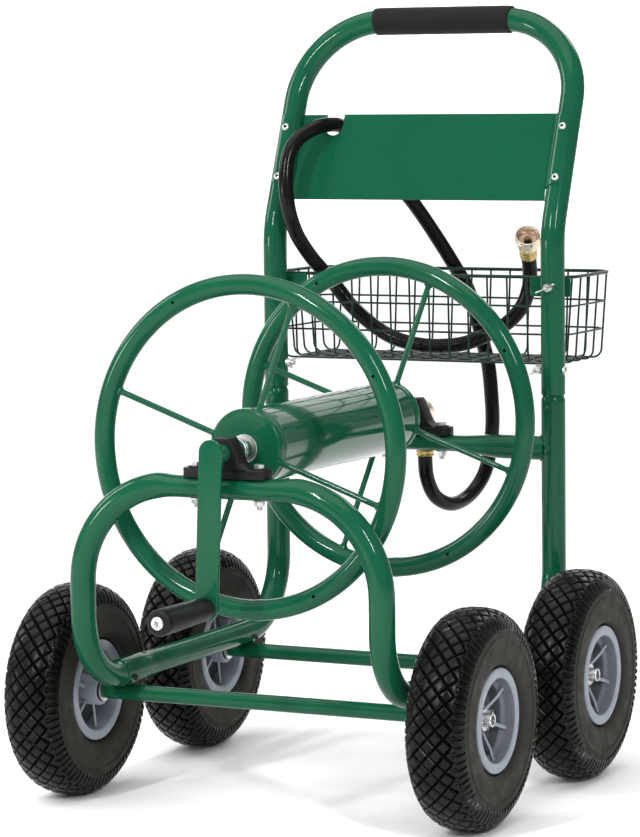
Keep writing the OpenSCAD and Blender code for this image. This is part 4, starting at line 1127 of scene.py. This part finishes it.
ARM_FRONT, ARM_BACK, ARM_HALF, CRANK_LEN = -297.0, -292.0, 14.25, 173.0
CRANK_TURN = radians(2.5)


def make_crank():
    b = Build()
    # Z runs up along the arm's line, with the hub at the origin
    m = Matrix.Translation((0, 0, REEL_Z)) @ Matrix.Rotation(CRANK_TURN, 4, "Y")
    out = []
    for start, z in ((0, 4), (pi, -CRANK_LEN)):
        for i in range(25):
            a = start + pi * i / 24
            out.append((ARM_HALF * cos(a), z + ARM_HALF * sin(a)))
    b.prism(out, -ARM_BACK, -ARM_FRONT, m @ UPRIGHT, bevel=0.9)
    # weld between the arm and the shaft
    b.loop([m @ Vector((x, ARM_BACK + 0.4, z)) for x, z, _ in circle(12.0, 48)], 1.5, n=10)
    b.make("crank_arm_bar", "paint", body="reel", replaces="crank_arm")
    # grip with a moulded collar, a slow taper and rounded ends
    b = Build()
    g = m @ axes((0, ARM_FRONT - 1, -CRANK_LEN), (0, -1, 0))
    prof = [(4.05, 0), (9.2, 0), (9.9, 0.3), (12.0, 1.0), (13.0, 2.6), (13.4, 4.6)]
    prof += [(13.5 + 1.9 * smooth01(i / 20), 6 + 5 * i) for i in range(21)]
    prof += [(15.0, 108), (14.0, 109.9), (12.3, 110.8), (11, 111), (8.6, 111), (8.2, 110.6),
             (8.2, 107.2), (4.05, 107.2)]
    b.lathe(prof, g, 64, ring=True)
    b.make("crank_grip_moulding", "plastic", body="crank_grip", replaces="crank_grip")
    b = Build()
    b.lathe([(4.0, 112.0), (4.0, -12.5), (4.0, -14.2), (3.4, -15), (0.01, -15)], g, 36)
    # pan head with a cross recess
    rows = []
    for r, z, cross in ((7.0, 108.6, 0), (7.6, 109.4, 0), (7.6, 112.4, 0), (7.3, 113.2, 0),
                        (6.6, 113.8, 0), (5.2, 114.2, 0), (3.9, 114.3, 0), (3.5, 114.3, 1),
                        (1.9, 114.3, 1), (0.9, 114.3, 1), (0.01, 114.3, 1)):
        rows.append([(x, y, z - (1.7 if cross and min(abs(x), abs(y)) < 0.62 else 0))
                     for x, y, _ in circle(r, 64)])
    b.grid(rows, g @ Matrix.Rotation(0.5, 4, "Z"), caps=(True, False))
    b.thread(4.0, -14.0, -6.2, 1.25, g, n=32, depth=0.5)
    b.make("grip_bolt_turned", "zinc", body="reel", replaces="grip_bolt")
    b = Build()
    b.hexagon(13, -13, -6.05, g, hole=4.0)
    b.make("grip_nut_hex", "zinc", body="reel", replaces="grip_nut")


make_hoops()
make_spokes()
make_drum()
make_shaft()
make_outlet()
make_crank()


# ---------------------------------------------------------------- bearing blocks and fasteners

SEAT_Z, BLOCK_TOP = 402.0, 447
BOLT_X = 40
# height and half width of the housing: flared foot, sloping sides, flat top
HOUSING = [(SEAT_Z + 9.2, 31.5), (SEAT_Z + 10, 30.5), (415, 26.5), (418, 23.6), (422, 21.2),
           (427.5, 18.8), (433.5, 16.2), (439.5, 13.4), (444, 11.2), (BLOCK_TOP, 9.2)]
RAIL_SCREWS = ((-164, 16.2), (150, 14.7))    # place along the rail, reach from its middle
SCREW_Z, JOINT_Z, BASKET_BOLT_Z = 146.5, 487, 589.5
BOLT_SEAT = 14.7      # how far from a tube's middle its bolts and wing nuts sit


def housing_half(z):
    for (z0, w0), (z1, w1) in zip(HOUSING, HOUSING[1:]):
        if z <= z1:
            return w0 + (w1 - w0) * (z - z0) / (z1 - z0)
    return HOUSING[-1][1]


def make_blocks():
    foot = HOUSING[0][0]
    right = [(housing_half(z), z) for z in
             [foot + (BLOCK_TOP - SEAT_Z - 9.2) * i / 26 for i in range(27)]]
    outline = right + [(-x, z) for x, z in reversed(right)]
    for node, y, near, far in (("front_block", LOOP_Y, -15, 7), ("rear_block", UP_Y, -7, 15)):
        b = Build()
        b.prism(outline, -(y + far), -(y + near), UPRIGHT, bevel=1.2)
        # foot plate with rounded ends and a pad round each bolt
        b.prism(round_corners(-44, 44, y - 3, y + 3, 10, 8), SEAT_Z - 1.2, SEAT_Z + 10,
                bevel=1.3)
        for s in (-1, 1):
            b.lathe([(9.9, SEAT_Z + 9.2), (9.5, SEAT_Z + 10.2), (9.4, SEAT_Z + 11.1),
                     (9.0, SEAT_Z + 11.5), (4.3, SEAT_Z + 11.5)],
                    Matrix.Translation((s * BOLT_X, y, 0)), 40)
        o = b.make(node + "_casting", "plastic", replaces=node)
        cut(o, [((0, y, REEL_Z), (0, 1, 0), SHAFT_R + 0.05, 60)])


def hex_bolt(b, m, r, length, across, height):
    """Hex head sitting on z = 0 with its shank running to -length."""
    b.hexagon(across, 0, height, m, ends=(False, True))
    b.lathe([(0.01, -length), (r * 0.72, -length), (r * 0.92, -length + 0.9)], m, 28)
    run = min(length * 0.5, 16)
    b.thread(r, -length + 0.9, -length + run, max(0.3 * r, 0.9), m, depth=0.16 * r, n=28)
    b.lathe([(r, -length + run), (r, 0.1)], m, 28)


def dome_bolt(b, m, head, shank, thread_from, thread_to):
    """Domed head at z = 0 over a shank, both as (radius, z) points."""
    b.lathe(head, m, 40)
    b.lathe(shank, m, 28)
    b.thread(3.05, thread_from, thread_to, 1.2, m, n=28, depth=0.45)


def make_block_fasteners():
    bolts, nuts, washers = Build(), Build(), Build()
    for y in (LOOP_Y, UP_Y):
        # underside of the bar that the block stands on
        base = 373.6 + (1.5 if y < 0 else 6.6)
        head = SEAT_Z + 11.5
        for s in (-1, 1):
            x = s * BOLT_X
            m = axes((x, y, head), (0, 0, 1), (cos(0.4 * s + y), sin(0.4 * s + y), 0))
            hex_bolt(bolts, m, 3.4, head - (base - 9.4), 10.8, 4.2)
            washers.lathe([(3.6, base + 0.2), (7, base + 0.2), (7, base + 1.5),
                           (6.7, base + 1.8), (3.6, base + 1.8)],
                          Matrix.Translation((x, y, 0)), 40, ring=True)
            m = axes((x, y, 0), (0, 0, 1), (cos(1.1 * s + y), sin(1.1 * s + y), 0))
            nuts.hexagon(10.8, base - 4.8, base + 0.15, m, hole=3.4)
    for b, what in ((bolts, "bolt"), (washers, "washer"), (nuts, "nut")):
        b.make("block_" + what + "_set", "zinc", replaces="block_" + what + "s")


def make_frame_fasteners():
    screws, nuts, joint, basket = Build(), Build(), Build(), Build()
    for s in (-1, 1):
        for y, reach in RAIL_SCREWS:
            m = axes((s * (SIDE_X + reach), y, SCREW_Z), (s, 0, 0), (0, cos(y), sin(y)))
            hex_bolt(screws, m, 2, 2 * reach + 4.4, 6.9, 2.8)
            m = axes((s * (SIDE_X - reach), y, SCREW_Z), (-s, 0, 0),
                     (0, cos(y + 1), sin(y + 1)))
            nuts.hexagon(6.2, 0, 2.8, m, hole=2)
        dome_bolt(joint, axes((s * (SIDE_X + BOLT_SEAT), UP_Y, JOINT_Z), (s, 0, 0), (0, 0, 1)),
                  [(5.5, -0.4), (5.5, 0.6), (5.2, 1.8), (4.2, 2.7), (2.6, 3.2), (0.01, 3.3)],
                  [(3.0, 0.5), (3.0, -28), (2.7, -41), (2.0, -41.6), (0.01, -41.6)], -41, -28)
        dome_bolt(basket, axes((s * SIDE_X, UP_Y + 17, BASKET_BOLT_Z), (0, 1, 0), (0, 0, 1)),
                  [(5.5, -0.2), (5.5, 0.8), (5.2, 1.8), (4.2, 2.6), (2.6, 2.95), (0.01, 3.0)],
                  [(3.0, 0.5), (3.0, -31), (2.7, -43), (2.0, -44), (0.01, -44)], -43.4, -31)
    for b, what, mat in ((screws, "frame_screw", "dull"), (nuts, "frame_nut", "dull"),
                         (joint, "joint_bolt", "zinc"), (basket, "basket_bolt", "zinc")):
        b.make(what + "_set", mat, replaces=what + "s")


def wing_nut(b, m):
    b.lathe([(3.0, 0.1), (5.3, 0.1), (5.6, 0.6), (5.1, 3.0), (4.7, 6.2), (4.2, 7.0), (3.0, 7.0)],
            m, 36, ring=True)
    # middle line of a wing and its half width
    mid = [(3.4, 3.2, 2.6), (5.5, 4.0, 2.9), (8.0, 6.4, 3.2), (10.2, 9.4, 3.0), (11.6, 12.0, 2.2),
           (12.2, 13.2, 1.0)]
    for s in (-1, 1):
        rows = []
        for i, (x, z, w) in enumerate(mid):
            a, c = mid[max(i - 1, 0)], mid[min(i + 1, len(mid) - 1)]
            d = Vector((c[0] - a[0], c[1] - a[1])).normalized()
            rows.append([(s * (x - d.y * e), 1.05 * q, z + d.x * e)
                         for e, q in [(w * cos(2 * pi * j / 16), sin(2 * pi * j / 16))
                                      for j in range(16)]])
        b.grid(rows, m, caps=(True, True))


def make_wing_nuts():
    b = Build()
    flat, steep = radians(25), radians(65)
    for s in (-1, 1):
        wing_nut(b, axes((s * SIDE_X, UP_Y - BOLT_SEAT, BASKET_BOLT_Z), (0, -1, 0),
                         (cos(flat), 0, sin(flat))))
        wing_nut(b, axes((s * (SIDE_X - BOLT_SEAT), UP_Y, JOINT_Z), (-s, 0, 0),
                         (0, sin(steep), cos(steep))))
    b.make("wing_nut_set", "zinc", replaces="wing_nuts")


# ---------------------------------------------------------------- basket

RIM_Z, FLOOR_Z, HALF_W, NEAR_Y, FAR_Y = 600.5, 494.0, 203.5, 269.5, 407.0
FEET_Y, HALF_FOOT = (273.5, 398.0), 195.5
RIM_WIRE, THIN_WIRE = 2.2, 1.3       # radii
RING_Z = (564, 529)
CROSS_WIRES, CROSS_STEP, FIRST_LONG, LONG_WIRES, LONG_STEP = 14, 26.75, 281, 5, 29


def wire_ring(b, half, y0, y1, z, corner, n, r, sides):
    path = round_corners(-half + corner, half - corner, y0 + corner, y1 - corner, corner, n)
    b.loop([(x, y, z) for x, y in path], r, n=sides)


def wire_set(name, node, routes, straight):
    b = Build()
    for route in routes:
        b.sweep(rounded(route, 12, 12, straight), THIN_WIRE, n=12, caps=(True, True))
    b.make(name, "wire", replaces=node)


def make_basket():
    b = Build()
    wire_ring(b, HALF_W + 3.2, NEAR_Y - 3.2, FAR_Y + 3.2, RIM_Z, 25, 10, RIM_WIRE, 14)
    for z in RING_Z:
        k = (RIM_Z - z) / (RIM_Z - FLOOR_Z)
        wire_ring(b, HALF_W + (HALF_FOOT - HALF_W) * k + 2.3,
                  NEAR_Y + (FEET_Y[0] - NEAR_Y) * k - 2.3,
                  FAR_Y + (FEET_Y[1] - FAR_Y) * k + 2.3, z, 22, 8, THIN_WIRE, 12)
    b.make("basket_ring_wires", "wire", replaces="basket_rings")
    top, low = RIM_Z + 1.4, FLOOR_Z - 2.3
    xs = [CROSS_STEP * (i - (CROSS_WIRES - 1) / 2) for i in range(CROSS_WIRES)]
    wire_set("basket_cross_wire_set", "basket_cross_wires",
             [[(x, NEAR_Y, top), (x, FEET_Y[0], FLOOR_Z), (x, FEET_Y[1], FLOOR_Z),
               (x, FAR_Y, top)] for x in xs], 40)
    ys = [FIRST_LONG + LONG_STEP * i for i in range(LONG_WIRES)]
    wire_set("basket_long_wire_set", "basket_long_wires",
             [[(-HALF_W, y, top), (-HALF_FOOT, y, low), (HALF_FOOT, y, low), (HALF_W, y, top)]
              for y in ys], 60)
    b = Build()
    z = RIM_Z - 11.75
    for s in (-1, 1):
        c = s * (SIDE_X - 10)
        b.prism(round_corners(c - 24.5, c + 24.5, z - 9.5, z + 9.5, 2.5, 4),
                -(UP_Y + 16.98), -(UP_Y + 15.02), UPRIGHT, bevel=0.35)
    b.make("basket_plate_pair", "paint", replaces="basket_plates")


# ---------------------------------------------------------------- swivel elbow and coupling

ELBOW_Y, FERRULE_Z, CRIMP_R = 285, 388, 11.4


def ferrule(b, m):
    """Crimped sleeve: closed end at z = 0, hose towards -Z, dented all round."""
    profile = [(9.2, 0), (10.2, 0), (10.8, -0.3), (11.3, -1.0)]
    profile += [(CRIMP_R, -1.5 - 0.5 * i) for i in range(31)]
    profile += [(11.3, -17.2), (10.8, -18), (9.7, -18), (9.6, -16)]
    n = 72

    def dented(i, j, r, z):
        if r < CRIMP_R:
            return r
        groove = 0.42 * (0.5 + 0.5 * cos(2 * pi * (z + 4.5) / 5.2))
        return r - groove - 0.28 * (0.5 + 0.5 * cos(8 * (2 * pi * j / n)))
    b.turned(profile, dented, m, n)


def make_elbow():
    b = Build()
    b.lathe([(8.05, 263), (13.2, 263), (13.9, 263.6), (14.0, 264.5), (14.0, 269), (13.3, 270.0),
             (13.1, 276), (13.5, 279)], axes((0, 0, REEL_Z), (0, 1, 0)), 56)
    # cast elbow body swept round the corner
    path, radius = [Vector((0, 272, REEL_Z))], [13.4]
    for i in range(25):
        a = radians(90 * i / 24)
        path.append(Vector((0, 276 + 11 * sin(a) - 2.0 * (i / 24), REEL_Z - 9 + 9 * cos(a))))
        radius.append(13.6 - 1.6 * i / 24)
    path += [Vector((0, ELBOW_Y, REEL_Z - 14)), Vector((0, ELBOW_Y, 404))]
    b.sweep(path, radius + [11.8, 11.5], n=48)
    m = axes((0, ELBOW_Y, 0), (0, 0, 1), (cos(0.5), sin(0.5), 0))
    b.hexagon(2 * 15 * cos(pi / 6), 392, 403, m, n=72)
    b.lathe([(11.5, 403.2), (12.2, 403), (13, 402.5)], m, 48)
    b.lathe([(10.5, 392.4), (10.5, 388), (6, 388)], m, 48)
    b.make("swivel_elbow_casting", "brass", replaces="swivel_elbow")
    b = Build()
    ferrule(b, axes((0, ELBOW_Y, FERRULE_Z), (0, 0, 1)))
    b.make("elbow_ferrule_crimped", "ferrule", replaces="elbow_ferrule")


def make_coupling():
    m = axes(TAIL, TAIL_AXIS, (1, 0, 0.07))
    sleeve, tail, nut, gasket = Build(), Build(), Build(), Build()
    ferrule(sleeve, m)
    tail.lathe([(9.2, -0.2), (9.2, 6), (11.2, 6.2), (11.6, 6.8), (11.6, 9.6), (11.2, 10),
                (5.4, 10), (5.0, 9.4), (5.0, -0.2)], m, 54, ring=True)
    nut.lathe([(9.25, 3), (13.2, 3), (13.9, 3.7), (14, 5), (14.0, 7.4)], m, 60)
    nut.hexagon(2 * 16.6 * cos(pi / 6), 7, 19, m, hole=12.6, n=96)
    nut.lathe([(15.2, 18.9), (15.5, 19.3), (15.5, 22.2), (14.9, 23.0), (14.2, 23.0),
               (13.75, 22.4)], m, 64)
    nut.thread(13.6, 12.6, 22.4, 2.2, m, n=64, depth=0.85, inner=True)
    nut.lathe([(13.6, 12.7), (12.1, 12.5), (12.1, 5.6), (9.25, 5.6), (9.25, 3)], m, 60)
    gasket.lathe([(6.4, 10.1), (11.3, 10.02), (11.6, 10.4), (11.6, 12.1), (11.3, 12.48),
                  (6.8, 12.5), (6.4, 12.2)], m, 56, ring=True)
    return [
        sleeve.make("coupling_ferrule_crimped", "ferrule",
                    replaces="coupling_ferrule"),
        tail.make("coupling_tail_turned", "brass", replaces="coupling_tail"),
        nut.make("coupling_nut_hex", "brass", body="coupling_nut", replaces="coupling_nut"),
        gasket.make("coupling_washer_moulded", "seal",
                    replaces="coupling_gasket")]


make_blocks()
make_block_fasteners()
make_frame_fasteners()
make_wing_nuts()
make_basket()
make_elbow()
HOSE_ENDS = make_coupling()


# ---------------------------------------------------------------- CAD nodes that stay

KEEP = {"frame_paint": "paint", "zinc": "zinc", "black_plastic": "plastic", "grip_foam": "foam",
        "brass": "brass", "hose_rubber": "hose", "seal_rubber": "seal", "tyre_rubber": "tyre",
        "wheel_plastic": "rim"}
for s in frame["record"]["subparts"]:
    o = frame["nodes"][s["node"]]
    o.data.materials.clear()
    o.data.materials.append(M[KEEP[s["material_slot"]]])

tuple(hose_path[0])
[tuple(p) for p in hose_path]
